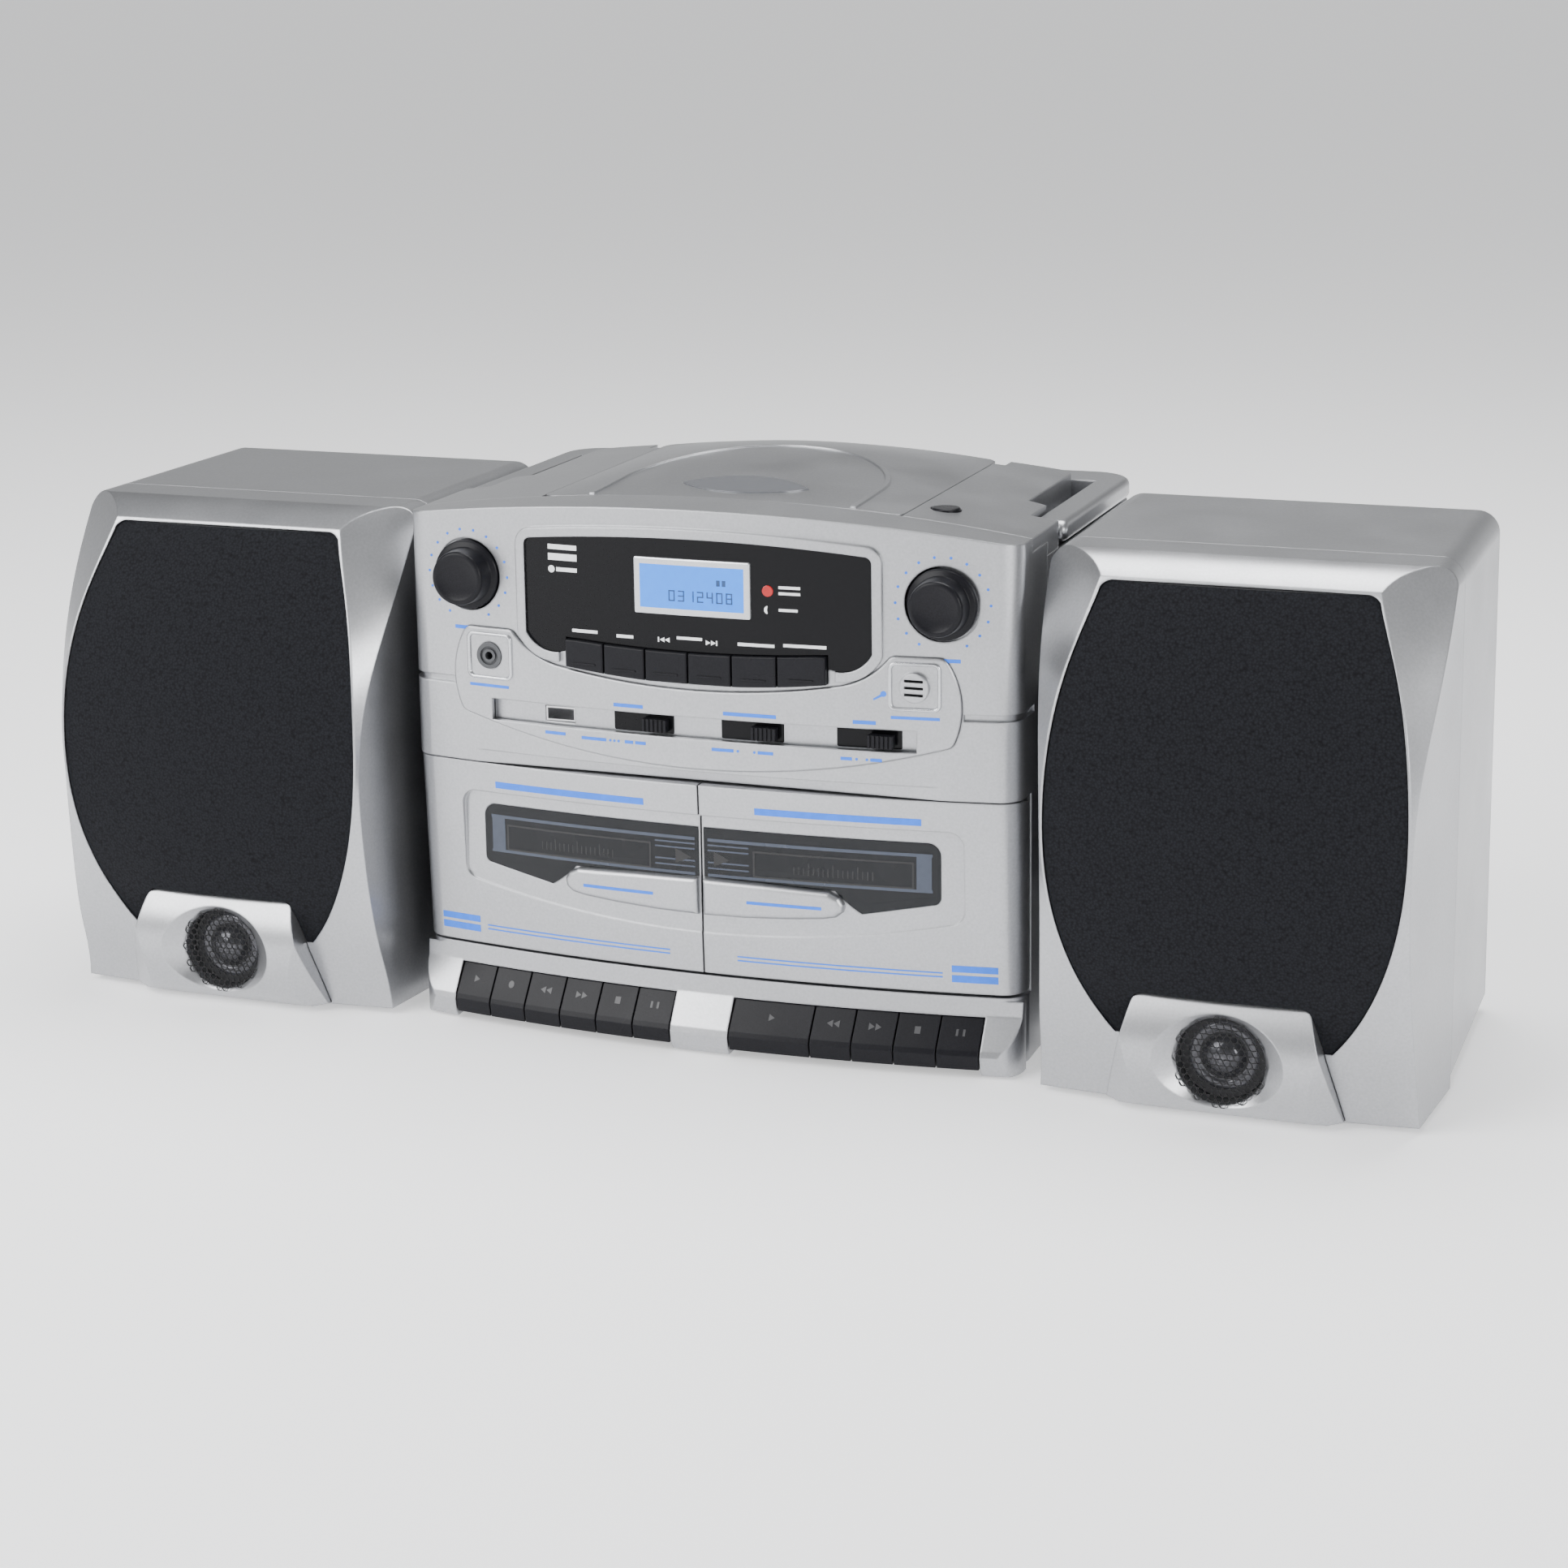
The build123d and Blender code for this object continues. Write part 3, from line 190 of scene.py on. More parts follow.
# ------------------------------------------------------------------ black keys and switches
# Keys, switches and the OPEN button are moulded in black plastic with a satin, finely etched face.
satin_black = moulded("satin_black", (0.008, 0.008, 0.010), 0.2, rough=(0.26, 0.36), grain=1500,
                      relief=0.08, edge=0.0006, shine=0.14)
key_nodes = [name for name in node if name.endswith("_key")]
finish_nodes(satin_black, "open_button", "function_switch", "dubbing_switch", "band_switch", *key_nodes)

# ------------------------------------------------------------------ inner pieces
# What shows only through a window or an open lid: deck plates, spindles and wells in grey plastic,
# the board, cones and steel shells in their own finishes.
deck_grey = moulded("deck_grey", (0.055, 0.057, 0.062), 0.1, rough=(0.4, 0.55), grain=1200, relief=0.1)
finish_nodes(deck_grey, "left_tape_deck", "right_tape_deck", "disc_well", "disc_drive", "mains_inlet",
             "headphone_jack")
hub_white = moulded("hub_white", (0.80, 0.80, 0.78), 0.04, rough=(0.35, 0.5))
finish_nodes(hub_white, "left_tape_spindle", "right_tape_spindle", "disc_spindle")
steel = moulded("stamped_steel", (0.55, 0.55, 0.56), 0.05, metallic=1.0, rough=(0.22, 0.34), grain=600)
finish_nodes(steel, "usb_socket", "telescopic_aerial")
rubber = moulded("foot_rubber", (0.02, 0.02, 0.02), 0.2, rough=(0.7, 0.85), grain=700, relief=0.3)
finish_nodes(rubber, "rubber_feet")
board_green = moulded("board_green", (0.02, 0.11, 0.05), 0.2, rough=(0.3, 0.45))
finish_nodes(board_green, "circuit_board")
cone_paper = moulded("cone_paper", (0.03, 0.03, 0.032), 0.2, rough=(0.75, 0.9), grain=400, relief=0.4)
finish_nodes(cone_paper, "left_speaker_drivers", "right_speaker_drivers")

# ------------------------------------------------------------------ windows
# The display window is glossy black. The door windows are smoked and let the deck behind show a
# little, and the lid has a grey lens.
gloss_black = moulded("gloss_black", (0.004, 0.004, 0.005), 0.1, rough=(0.08, 0.12), relief=0.0,
                      shine=0.14)
finish_nodes(gloss_black, "display_lens")
smoke = moulded("smoked_window", (0.005, 0.006, 0.008), 0.1, rough=(0.05, 0.09), relief=0.0, coat=0.1,
                shine=0.3)
smoke.node_tree.nodes["Principled BSDF"].inputs["Alpha"].default_value = 0.84
finish_nodes(smoke, "left_door_window", "right_door_window")
grey_lens = moulded("grey_lens", (0.16, 0.165, 0.18), 0.05, metallic=0.2, rough=(0.10, 0.16), relief=0.0,
                    coat=0.5)
finish_nodes(grey_lens, "lid_window")

# ------------------------------------------------------------------ bowed front surfaces
# Every front face is part of one upright cylinder. These give its depth at a place on it, in millimetres,
# and lay thin pieces on it.
half_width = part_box("front_casing")[1].x / mm
bow_depth = 12.0
bow_radius = (half_width**2 + bow_depth**2) / (2 * bow_depth)
casing_front = -95.0
bow_centre = casing_front + bow_radius


def bow(front):
    """Depth of a bowed face whose foremost point is at front."""
    return lambda x, z: bow_centre - math.sqrt((bow_centre - front) ** 2 - x * x)


door_low, door_high = (corner.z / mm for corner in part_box("left_cassette_door"))
door_top_front, door_lean = -94.0, 3.9


def door_face(x, z):
    """Depth of a cassette door's face, which leans back a little."""
    return bow(door_top_front + door_lean * (door_high - z) / (door_high - door_low))(x, z)


def add_piece(name, bm, material, body, smooth=False):
    """Turn a finished bmesh, in metres, into a piece that rides on a body."""
    bmesh.ops.recalc_face_normals(bm, faces=bm.faces)
    for face in bm.faces:
        face.smooth = smooth
    mesh = bpy.data.meshes.new(name)
    bm.to_mesh(mesh)
    bm.free()
    piece = bpy.data.objects.new(name, mesh)
    bpy.context.scene.collection.objects.link(piece)
    piece.data.materials.append(material)
    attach(piece, body)
    return piece


def inlay(name, outlines, face, material, body, rise=0.12, depth=0.2, round_by=0.0, slice_by=6.0, steps=2,
          outward=-1):
    """Thin plates with outlines in X and Z, bent to lie on a face and standing proud of it by rise.

    The face looks to the front, or to the back where outward is 1."""
    bm = bmesh.new()
    for outline in outlines:
        ring = [bm.verts.new((x, 0, z)) for x, z in outline]
        bmesh.ops.contextual_create(bm, geom=ring)
    reach = [v.co.x for v in bm.verts]
    cut = math.ceil(min(reach) / slice_by) * slice_by
    while cut < max(reach):
        bmesh.ops.bisect_plane(bm, geom=bm.verts[:] + bm.edges[:] + bm.faces[:], dist=1e-5,
                               plane_co=(cut, 0, 0), plane_no=(1, 0, 0))
        cut += slice_by
    raised = bmesh.ops.extrude_face_region(bm, geom=bm.faces[:])["geom"]
    front = [item for item in raised if isinstance(item, bmesh.types.BMVert)]
    bmesh.ops.translate(bm, verts=front, vec=(0, outward * (rise + depth), 0))
    bmesh.ops.recalc_face_normals(bm, faces=bm.faces)
    if round_by:
        rim = [edge for edge in bm.edges if edge.verts[0] in front and edge.verts[1] in front
               and edge.calc_face_angle(0) > 0.8]
        bmesh.ops.bevel(bm, geom=rim, offset=round_by, segments=steps, affect="EDGES", profile=0.5,
                        material=-1)
    for vert in bm.verts:
        vert.co.y += face(vert.co.x, vert.co.z) - outward * depth
    bmesh.ops.scale(bm, verts=bm.verts, vec=(mm, mm, mm))
    return add_piece(name, bm, material, body)


def rectangle(x0, x1, z0, z1):
    """Upright rectangle."""
    return [(x0, z0), (x1, z0), (x1, z1), (x0, z1)]


def rounded(x0, x1, z0, z1, radius, steps=4):
    """Rectangle with round corners."""
    points = []
    for cx, cz, start in ((x1 - radius, z0 + radius, -90), (x1 - radius, z1 - radius, 0),
                          (x0 + radius, z1 - radius, 90), (x0 + radius, z0 + radius, 180)):
        for i in range(steps + 1):
            angle = math.radians(start + 90 * i / steps)
            points.append((cx + radius * math.cos(angle), cz + radius * math.sin(angle)))
    return points


def disc(x, z, radius, steps=16):
    """Round outline."""
    return [(x + radius * math.cos(2 * math.pi * i / steps), z + radius * math.sin(2 * math.pi * i / steps))
            for i in range(steps)]


def triangle(x, z, size):
    """Play mark; a negative size points it to the left."""
    return [(x - size / 2, z - abs(size) / 2), (x + size / 2, z), (x - size / 2, z + abs(size) / 2)]


# ------------------------------------------------------------------ display
# Behind the black window sits a liquid crystal panel in a silver frame, lit in blue. Beside it are a red
# receiver for the remote control and a small lamp. The prints are plain bars and dots.
display_face = bow(-95.6)


def inked(name, colour, glow=0.0, rough=0.5):
    """Printing ink, slightly uneven, or a lit surface."""
    material = moulded(name, colour, 0.06, rough=(rough - 0.05, rough + 0.05), grain=300, relief=0.02)
    shader = material.node_tree.nodes["Principled BSDF"]
    if glow:
        shader.inputs["Emission Color"].default_value = (*colour, 1)
        shader.inputs["Emission Strength"].default_value = glow
    return material


white_print = inked("white_print", (0.78, 0.79, 0.80))
blue_print = inked("blue_print", (0.004, 0.15, 0.80))
lcd_blue = inked("lcd_blue", (0.002, 0.20, 0.85), glow=0.38, rough=0.2)
lcd_segment = inked("lcd_segment", (0.01, 0.05, 0.16), rough=0.3)
sensor_red = inked("sensor_red", (0.40, 0.004, 0.004), rough=0.15)
bright_silver = moulded("bright_silver", (0.56, 0.57, 0.59), 0.03, metallic=0.85, rough=(0.22, 0.30))

unit = "centre_unit"
lcd_left, lcd_right, lcd_low, lcd_high = -26.8, 26.8, 198.3, 223.2
lcd_border = 2.9
inlay("lcd_frame", [rounded(lcd_left, lcd_right, lcd_low, lcd_high, 0.8)], display_face, bright_silver, unit,
      rise=1.1, round_by=0.7)
inlay("lcd_window", [rectangle(lcd_left + lcd_border, lcd_right - lcd_border, lcd_low + lcd_border,
                               lcd_high - lcd_border)], display_face, lcd_blue, unit, rise=1.2)


def segments(x, z, width, height, shown):
    """Seven-segment figure: bars a to g, of which some are shown."""
    t = 0.55
    middle = z + height / 2
    bars = {"a": (x, x + width, z + height - t, z + height),
            "b": (x + width - t, x + width, middle, z + height),
            "c": (x + width - t, x + width, z, middle),
            "d": (x, x + width, z, z + t),
            "e": (x, x + t, z, middle),
            "f": (x, x + t, middle, z + height),
            "g": (x, x + width, middle - t / 2, middle + t / 2)}
    return [rectangle(*bars[letter]) for letter in shown]


figures = {"0": "abcdef", "1": "bc", "2": "abged", "3": "abgcd", "4": "fgbc", "8": "abcdefg"}
reading = []
reading_left, reading_low = -10.5, 204.6
figure_pitch, figure_width, figure_height = 4.4, 2.9, 4.8
for place, figure in enumerate("0312408"):
    reading += segments(reading_left + figure_pitch * place, reading_low, figure_width, figure_height,
                        figures[figure])
reading += [rectangle(11.6, 13.2, 212.2, 214.8), rectangle(14.2, 15.8, 212.2, 214.8)]
inlay("lcd_reading", reading, display_face, lcd_segment, unit, rise=1.28)
inlay("remote_sensor", [disc(34.3, 211.2, 2.5, 20)], display_face, sensor_red, unit, rise=0.3, round_by=0.25)
lamp_arc = [(34.4 + 1.8 * math.cos(a), 203 + 1.8 * math.sin(a))
            for a in (math.radians(100 + 20 * i) for i in range(9))]
inlay("power_lamp", [lamp_arc + [(34.2, 201.6), (33.9, 203), (34.2, 204.4)]], display_face, white_print,
      unit)
inlay("display_print", [rectangle(-68.5, -54.5, 223.4, 225.6), rectangle(-68.5, -54.5, 218.6, 221.6),
                        disc(-67, 214.6, 1.6), rectangle(-64.6, -54.5, 213.7, 215.5),
                        rectangle(39.2, 48.8, 212.4, 213.6), rectangle(39.2, 48.8, 209.8, 211.0),
                        rectangle(39.2, 47.6, 202.6, 203.8),
                        rectangle(-57.5, -45.2, 187.2, 188.6), rectangle(-36.0, -28.0, 186.4, 187.8),
                        rectangle(-16.4, -15.8, 185.9, 188.1), triangle(-14.4, 187, -2.2),
                        triangle(-12.0, 187, -2.2), rectangle(-7.5, 4.2, 187.6, 188.9),
                        triangle(7.0, 187, 2.2), triangle(9.4, 187, 2.2), rectangle(10.6, 11.2, 185.9, 188.1),
                        rectangle(20.5, 37.0, 186.6, 188.0), rectangle(41.0, 60.0, 187.2, 188.6)],
      display_face, white_print, unit)

# Each disc key has a fine moulded rib near its lower edge.
rib_half = 5.6
for name in [key for key in key_nodes if key.startswith("disc_")]:
    low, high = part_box(name)
    middle = (low.x + high.x) / 2 / mm
    rib_low = low.z / mm + 3.2
    inlay(f"{name}_rib", [rounded(middle - rib_half, middle + rib_half, rib_low, rib_low + 0.9, 0.4)],
          bow(-98.2), satin_black, name, rise=0.35)

# ------------------------------------------------------------------ knobs
# Each knob is one black moulding: a stepped skirt and a slightly conical cap with a rounded rim. It
# presses onto a shaft in the casing, and a dotted scale is printed round it.


def turned(name, profile, centre, material, body, steps=72):
    """Body of revolution about an axis that points at the viewer; profile is (radius, depth)."""
    bm = bmesh.new()
    path = [bm.verts.new((radius, depth, 0)) for radius, depth in profile]
    edges = [bm.edges.new(pair) for pair in zip(path[:-1], path[1:])]
    bmesh.ops.spin(bm, geom=path + edges, cent=(0, 0, 0), axis=(0, 1, 0), angle=2 * math.pi, steps=steps,
                   use_merge=True)
    bmesh.ops.remove_doubles(bm, verts=bm.verts, dist=1e-4)
    bmesh.ops.translate(bm, verts=bm.verts, vec=(centre[0], 0, centre[1]))
    bmesh.ops.scale(bm, verts=bm.verts, vec=(mm, mm, mm))
    return add_piece(name, bm, material, body, smooth=True)


knob_profile = [(0, -83), (3, -83), (3, -86), (15.2, -86.1), (15.5, -86.5), (15.5, -89.2), (15.2, -89.9),
                (14.6, -90.3), (12.9, -90.5), (12.5, -90.9), (12.1, -97.8), (11.8, -98.8), (11.1, -99.4),
                (10.2, -99.5), (9.6, -99.3), (8.6, -98.9), (4, -98.5), (0, -98.4)]
scale_radius, scale_dot = 20.2, 0.62
for name in ("volume_knob", "tuning_knob"):
    low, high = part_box(name)
    centre = ((low.x + high.x) / 2 / mm, (low.z + high.z) / 2 / mm)
    knob = turned(f"{name}_cap", knob_profile, centre, satin_black, name)
    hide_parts(name)
    knob_dots = [disc(centre[0] + scale_radius * math.sin(math.radians(a)),
                      centre[1] + scale_radius * math.cos(math.radians(a)), scale_dot, 10)
                 for a in range(-150, 151, 20)]
    inlay(f"{name}_scale", knob_dots + [rectangle(centre[0] - 7.5, centre[0] + 7.5, 183.6, 185.2)],
          bow(casing_front), blue_print, unit)

# ------------------------------------------------------------------ control panel
# The raised band carries two framed plates, one with the headphone socket and one with the microphone,
# and a long recess with the switches. Its prints are blue bars and dots.
panel_face = bow(-96.3)


def frame_plate(name, x, z, half):
    """Square frame with round corners standing on the panel."""
    bm = bmesh.new()
    rings = []
    for size, radius, depth in ((half, 3.0, 0.0), (half - 0.15, 2.9, -0.9), (half - 0.9, 2.4, -1.1),
                                (half - 1.5, 2.0, -0.6), (half - 1.7, 1.9, -0.1)):
        points = rounded(x - size, x + size, z - size * 0.93, z + size * 0.93, radius, 6)
        rings.append([bm.verts.new((px, panel_face(px, pz) + depth, pz)) for px, pz in points])
    for ring in rings:
        for i, vert in enumerate(ring):
            bm.edges.new((vert, ring[(i + 1) % len(ring)]))
    for outer, inner in zip(rings[:-1], rings[1:]):
        loops = [edge for ring in (outer, inner) for edge in
                 {bm.edges.get((vert, ring[(i + 1) % len(ring)])) for i, vert in enumerate(ring)}]
        bmesh.ops.bridge_loops(bm, edges=loops)
    bmesh.ops.scale(bm, verts=bm.verts, vec=(mm, mm, mm))
    return add_piece(name, bm, bright_silver, unit, smooth=True)


frame_height, frame_half = 172.9, 11.4
for name, frame_x in (("headphone_frame", -99.3), ("microphone_frame", 98.4)):
    frame_plate(name, frame_x, frame_height, frame_half)

strip_face = bow(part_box("switch_strip")[0].y / mm)
slot_width, slot_low, slot_high = 28.5, 144.3, 153.2
for name in ("function", "dubbing", "band"):
    slot_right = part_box(f"{name}_switch")[1].x / mm + 2.5
    inlay(f"{name}_slot", [rounded(slot_right - slot_width, slot_right, slot_low, slot_high, 0.8)],
          strip_face, gloss_black, unit, rise=0.1)
panel_print = []
for x, width in ((-31, 14), (25.5, 24), (76.5, 10)):
    panel_print.append(rectangle(x - width / 2, x + width / 2, 155.6, 157.2))
for x0, x1 in ((-54, -42), (-33, -29), (-28, -23), (8, 18), (29, 36), (66, 71), (79, 84)):
    panel_print.append(rectangle(x0, x1, 139.4, 140.8))
for x in (-40, -38, -36, 20, 27.5, 73, 77.5):
    panel_print.append(disc(x, 140.1, 0.6, 10))
panel_print += [rectangle(-72, -62, 140.2, 141.6), rectangle(88, 109, 158.6, 159.9),
                rectangle(-110, -90, 158.6, 159.9)]
inlay("panel_print", panel_print, panel_face, blue_print, unit)
microphone_handle = [(80.6, 166.3), (84.4, 168.2), (83.9, 169.2), (80.4, 167)]
inlay("microphone_mark", [microphone_handle, disc(84.9, 169.3, 1.3, 12)], panel_face, blue_print, unit)

# ------------------------------------------------------------------ cassette doors
# Each door is one silver moulding with a smoked window, a fat finger tab at the inner end and a dark
# printed mask inside the window. The two play marks point the way the tape runs.
window_face = bow(-90.9)
tab_rise = 2.6
mask_grey = inked("mask_grey", (0.035, 0.045, 0.07), rough=0.25)
line_black = inked("line_black", (0.004, 0.004, 0.005), rough=0.25)
for side, sign in (("left", -1), ("right", 1)):
    door = f"{side}_cassette_door"

    def flip(outline):
        """The outline on this door's side."""
        return [(sign * x, z) for x, z in outline]

    tab = [(1.2, 63.6), (20, 63.9), (40, 65.0), (56, 66.4), (62, 67.6), (65.2, 70.2), (65.6, 73.6),
           (63.6, 76.8), (59, 79.0), (30, 80.0), (1.2, 80.4)]
    inlay(f"{side}_door_tab", [flip(tab)], door_face, silver, door, rise=tab_rise, depth=4.0, round_by=2.4,
          steps=5)
    mask = [rectangle(3, 104, 96.8, 98.2), rectangle(3, 104, 80.9, 82.2), rectangle(97, 103.6, 82.2, 96.8)]
    mask += [rectangle(3, 22, z, z + 0.7) for z in (84.4, 87.0, 92.4, 94.8)]
    inlay(f"{side}_window_mask", [flip(shape) for shape in mask], window_face, mask_grey, door, rise=0.03)
    ticks = [rectangle(60 + 2.2 * i, 60.5 + 2.2 * i, 85.0, 88.6 if i % 5 else 90.4) for i in range(-8, 9)]
    edges = [rectangle(24, 96, 93.4, 94.2), rectangle(24, 96, 82.2, 83.0), rectangle(24, 24.8, 83.0, 93.4),
             rectangle(95.2, 96, 83.0, 93.4)]
    marks = [[(sign * 9.0 - 3.2, 85.6), (sign * 9.0 + 4.2, 89.0), (sign * 9.0 - 3.2, 92.4)]]
    inlay(f"{side}_window_marks", [flip(shape) for shape in ticks + edges] + marks, window_face,
          line_black, door, rise=0.05)
    lines = [rectangle(16, 108, 45.0, 45.6), rectangle(16, 108, 43.2, 43.8),
             rectangle(112, 132, 41.4, 44.6), rectangle(112, 132, 46.0, 49.0),
             rectangle(26, 100, 111.4, 114.4)]
    inlay(f"{side}_door_print", [flip(shape) for shape in lines], door_face, blue_print, door)
    inlay(f"{side}_tab_print", [flip(rectangle(22, 56, 71.0, 72.4))],
          lambda x, z: door_face(x, z) - tab_rise, blue_print, door)

# ------------------------------------------------------------------ cassette hubs
# Behind each window the two drive hubs carry a pale stepped disc. One turns with its spindle and the
# other is fixed to the deck.
hub_spacing = 42.5
hub_profile = [(0, -68.9), (5.6, -68.9), (6.0, -68.6), (6.2, -68.0), (9.2, -67.8), (9.8, -67.5),
               (9.8, -66.4), (0, -66.4)]
for side, sign in (("left", -1), ("right", 1)):
    low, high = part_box(f"{side}_tape_spindle")
    hub_z = (low.z + high.z) / 2 / mm
    turning_x = (low.x + high.x) / 2 / mm
    for kind, x, body in (("take_up", turning_x, f"{side}_tape_spindle"),
                          ("supply", turning_x - sign * hub_spacing, unit)):
        turned(f"{side}_{kind}_disc", hub_profile, (x, hub_z), hub_white, body, 40)

# ------------------------------------------------------------------ cassette keys
# Black piano keys, each with its function moulded on the sloping face as a plain mark.
key_marks = {"play": ["play"], "record": ["dot"], "rewind": ["back", "back"], "forward": ["play", "play"],
             "stop": ["square"], "pause": ["bar", "bar"]}
mark_grey = moulded("mark_grey", (0.035, 0.035, 0.038), 0.05, rough=(0.35, 0.5))
mark_z = 19.5


def slope(x, z):
    """Depth of the keys' sloping face."""
    return bow(-88.2 - (25.2 - z) * 9.2 / 12.0)(x, z)


for name in [key for key in key_nodes if not key.startswith("disc_")]:
    low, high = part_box(name)
    middle = (low.x + high.x) / 2 / mm
    kinds = key_marks[name.split("_")[1]]
    outlines = []
    for i, kind in enumerate(kinds):
        x = middle + (i - (len(kinds) - 1) / 2) * 3.0
        if kind == "play":
            outlines.append(triangle(x, mark_z, 2.6))
        elif kind == "back":
            outlines.append(triangle(x, mark_z, -2.6))
        elif kind == "dot":
            outlines.append(disc(x, mark_z, 1.4, 14))
        elif kind == "bar":
            outlines.append(rectangle(x - 0.5, x + 0.5, mark_z - 1.2, mark_z + 1.2))
        else:
            outlines.append(rectangle(x - 1.3, x + 1.3, mark_z - 1.3, mark_z + 1.3))
    inlay(f"{name}_mark", outlines, slope, mark_grey, name, rise=0.1)
left_keys_start, left_key_width = -122.6, 18.1
caption_x = [left_keys_start + left_key_width * (i + 0.5) for i in range(6)] + [32.3, 60.2, 79, 97.6, 116.3]
inlay("key_captions", [rectangle(x - 5.5, x + 5.5, 29.6, 31.0) for x in caption_x], bow(-88.0), blue_print,
      unit)

# ------------------------------------------------------------------ speakers
# A knitted black cloth is stretched over a convex frame in the faceted bezel. Below it a silver pod
# holds the tweeter in a flared opening behind a hexagonal steel mesh.


def knitted(name):
    """Black speaker cloth: fine knit with a soft sheen."""
    material = bpy.data.materials.new(name)
    material.use_nodes = True
    nodes, links = material.node_tree.nodes, material.node_tree.links
    shader = nodes["Principled BSDF"]
    shader.inputs["Roughness"].default_value = 0.85
    shader.inputs["Specular IOR Level"].default_value = 0.12
    shader.inputs["Sheen Weight"].default_value = 0.06
    shader.inputs["Sheen Roughness"].default_value = 0.4
    place = nodes.new("ShaderNodeTexCoord")
    knit = nodes.new("ShaderNodeTexVoronoi")
    knit.inputs["Scale"].default_value = 900.0
    cloud = nodes.new("ShaderNodeTexNoise")
    cloud.inputs["Scale"].default_value = 40.0
    ramp = nodes.new("ShaderNodeValToRGB")
    ramp.color_ramp.elements[0].color = (0.012, 0.013, 0.016, 1)
    ramp.color_ramp.elements[1].color = (0.003, 0.003, 0.004, 1)
    bump = nodes.new("ShaderNodeBump")
    bump.inputs["Strength"].default_value = 0.5
    bump.inputs["Distance"].default_value = 0.0003
    bump.invert = True
    links.new(place.outputs["Object"], knit.inputs["Vector"])
    links.new(place.outputs["Object"], cloud.inputs["Vector"])
    links.new(knit.outputs["Distance"], ramp.inputs["Fac"])
    links.new(ramp.outputs["Color"], shader.inputs["Base Color"])
    links.new(knit.outputs["Distance"], bump.inputs["Height"])
    links.new(bump.outputs["Normal"], shader.inputs["Normal"])
    return material


speaker_cloth = knitted("speaker_cloth")
finish_nodes(speaker_cloth, "left_speaker_grille", "right_speaker_grille")
mesh_black = moulded("mesh_black", (0.012, 0.012, 0.013), 0.1, metallic=0.3, rough=(0.35, 0.45))
dome_grey = moulded("dome_grey", (0.10, 0.10, 0.11), 0.05, metallic=0.7, rough=(0.14, 0.2), relief=0.02)
dome_profile = [(0, -102.6), (3, -102.3), (6, -101.2), (8.2, -99.4), (9.2, -97.2), (9.8, -96.6),
                (11.2, -97.6), (12.8, -98.0), (14.4, -97.4), (15.4, -96.4), (18.2, -96.3)]
mesh_radius, mesh_wall, mesh_pitch = 18.9, 0.55, 3.0
mesh_front, mesh_thickness, tweeter_z = -105.6, 0.5, 27.4
for side in sides:
    body = f"{side}_speaker"
    low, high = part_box(f"{side}_tweeter_pod")
    centre_x = (low.x + high.x) / 2 / mm
    bm = bmesh.new()
    step_x, step_z = mesh_pitch, mesh_pitch * math.sqrt(3) / 2
    reach = int(mesh_radius / step_z) + 1
    for row in range(-reach, reach + 1):
        for column in range(-reach, reach + 1):
            x = (column + (row % 2) / 2) * step_x
            z = row * step_z
            if math.hypot(x, z) > mesh_radius - 0.4:
                continue
            bmesh.ops.create_circle(
                bm, cap_ends=True, segments=6, radius=mesh_pitch / math.sqrt(3) * 1.001,
                matrix=Matrix.Translation((centre_x + x, mesh_front, tweeter_z + z))
                @ Matrix.Rotation(math.radians(90), 4, "X") @ Matrix.Rotation(math.radians(30), 4, "Z"))
    cells = bm.faces[:]
    bmesh.ops.inset_individual(bm, faces=cells, thickness=mesh_wall / 2)
    bmesh.ops.delete(bm, geom=cells, context="FACES")
    bmesh.ops.remove_doubles(bm, verts=bm.verts, dist=0.01)
    raised = bmesh.ops.extrude_face_region(bm, geom=bm.faces[:])["geom"]
    raised = [item for item in raised if isinstance(item, bmesh.types.BMVert)]
    bmesh.ops.translate(bm, verts=raised, vec=(0, -mesh_thickness, 0))
    bmesh.ops.scale(bm, verts=bm.verts, vec=(mm, mm, mm))
    add_piece(f"{side}_tweeter_mesh", bm, mesh_black, body)
    turned(f"{side}_tweeter_dome", dome_profile, (centre_x, tweeter_z), dome_grey, body)

# ------------------------------------------------------------------ back
# The rear cabinet is closed by screws in round wells and carries three columns of air slots, spring
# terminals for the speaker leads and a blank rating plate. Each speaker has a blank plate, and a screw
# in every corner of its back. The wells, the air slots, the cross slots and the terminal holes are not
# cut: thin near-black plates on the surface carry their painted shade.
# Near-black for the painted shade in the back's hollows: screw wells, cross slots, air slots and terminal
# holes.
painted_recess_shade = moulded("painted_recess_shade", (0.012, 0.012, 0.013), 0.1, rough=(0.6, 0.7))
terminal_red = moulded("terminal_red", (0.45, 0.02, 0.02), 0.05, rough=(0.3, 0.4))
plate_grey = inked("plate_grey", (0.30, 0.31, 0.33), rough=0.4)
unit_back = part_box("rear_cabinet")[1].y / mm
speaker_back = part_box("left_speaker_cabinet")[1].y / mm


def on_back(name, outlines, y, material, body, rise, **shape):
    """Plates that stand on an upright back face."""
    inlay(name, outlines, lambda x, z: y, material, body, rise=rise, slice_by=60.0, outward=1, **shape)


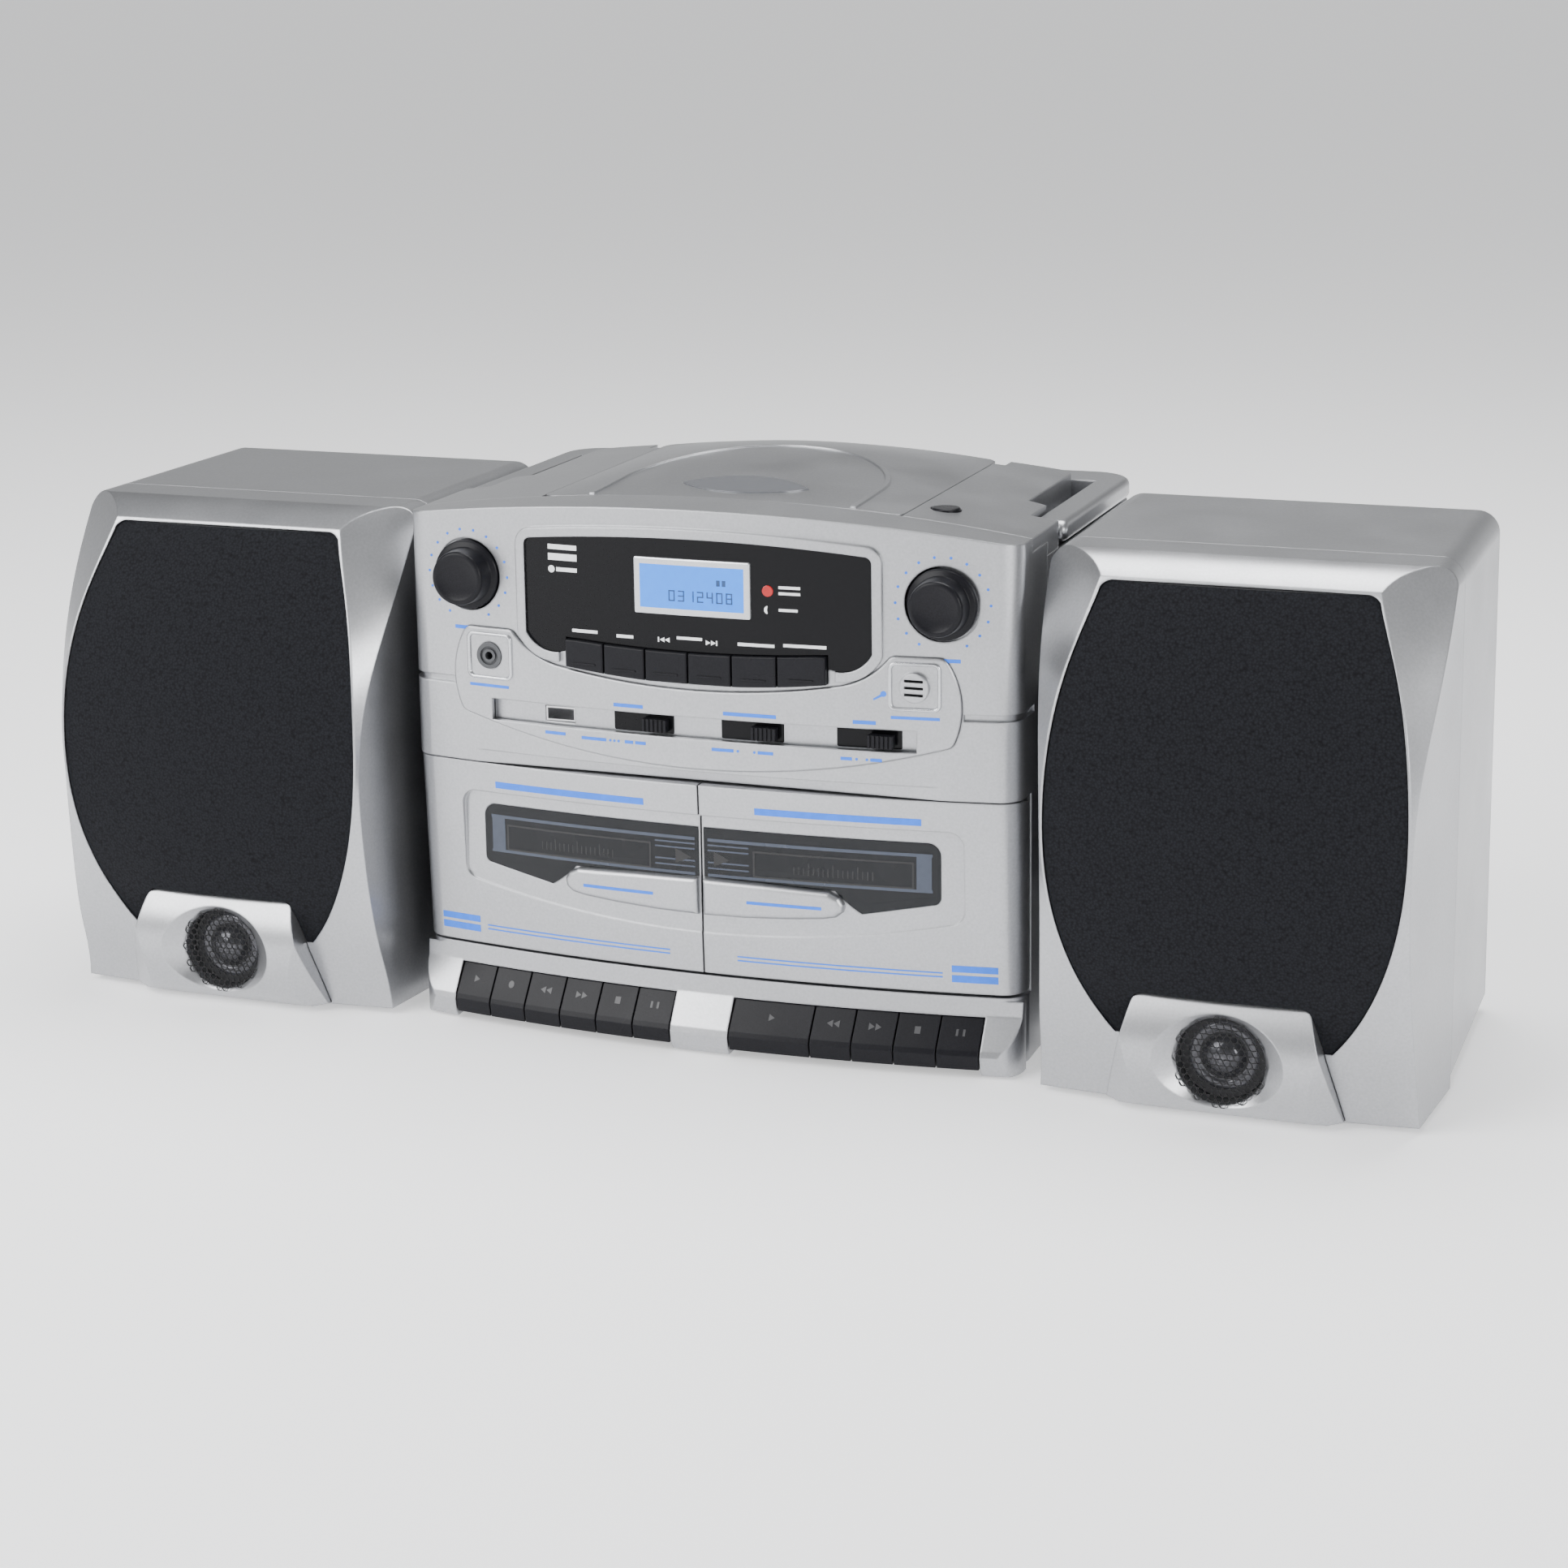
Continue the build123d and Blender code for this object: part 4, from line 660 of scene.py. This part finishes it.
def screws(name, places, y, body):
    """Cross-head screws; round each head and in its cross a near-black plate carries the painted shade of the
    well and the slots.
    """
    on_back(f"{name}_wells", [disc(x, z, 4.2, 24) for x, z in places], y, painted_recess_shade, body, 0.05)
    on_back(f"{name}_heads", [disc(x, z, 3.0, 24) for x, z in places], y, steel, body, 0.5, round_by=0.3)
    crosses = [shape for x, z in places for shape in (rectangle(x - 1.7, x + 1.7, z - 0.35, z + 0.35),
                                                      rectangle(x - 0.35, x + 0.35, z - 1.7, z + 1.7))]
    on_back(f"{name}_crosses", crosses, y, painted_recess_shade, body, 0.55)


screws("unit_screws", [(sign * 128, z) for sign in (-1, 1) for z in (16, 112, 212)], unit_back, unit)
vent_width, vent_height, louvre_top = 26, 2.4, 3.6
vent_corners = [(x, z) for x in (-86, -54, -22) for z in range(118, 160, 6)]
vents = [rounded(x, x + vent_width, z, z + vent_height, 1.1) for x, z in vent_corners]
louvres = [rounded(x, x + vent_width, z + vent_height, z + louvre_top, 0.5) for x, z in vent_corners]
# The air slots are near-black plates of painted shade, with silver louvres above them.
on_back("unit_vents", vents, unit_back, painted_recess_shade, unit, 0.06)
on_back("vent_louvres", louvres, unit_back, silver, unit, 0.9, round_by=0.4)
on_back("rating_plate", [rounded(22, 78, 120, 156, 2)], unit_back, plate_grey, unit, 0.25, round_by=0.1)
on_back("terminal_base", [rounded(88, 122, 96, 118, 2)], unit_back, satin_black, unit, 1.2, round_by=0.6)
for colour, plastic, places in (("red", terminal_red, (91.5, 106.5)), ("black", satin_black, (98.5, 113.5))):
    on_back(f"terminal_{colour}_levers", [rounded(x, x + 6, 99, 107, 1) for x in places], unit_back, plastic,
            unit, 3.2, round_by=0.7)
# The terminal holes are near-black discs of painted shade.
on_back("terminal_holes", [disc(x, 112, 1.5, 16) for x in (94.5, 101.5, 109.5, 116.5)], unit_back,
        painted_recess_shade, unit, 1.3)
for side in sides:
    low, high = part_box(f"{side}_speaker_cabinet")
    corners = [(x / mm, z) for x in (low.x + 0.016, high.x - 0.016) for z in (26, 214)]
    screws(f"{side}_speaker_screws", corners, speaker_back, f"{side}_speaker")
    middle = (low.x + high.x) / 2 / mm
    on_back(f"{side}_speaker_plate", [rounded(middle - 30, middle + 30, 96, 126, 2)], speaker_back,
            plate_grey, f"{side}_speaker", 0.25, round_by=0.1)
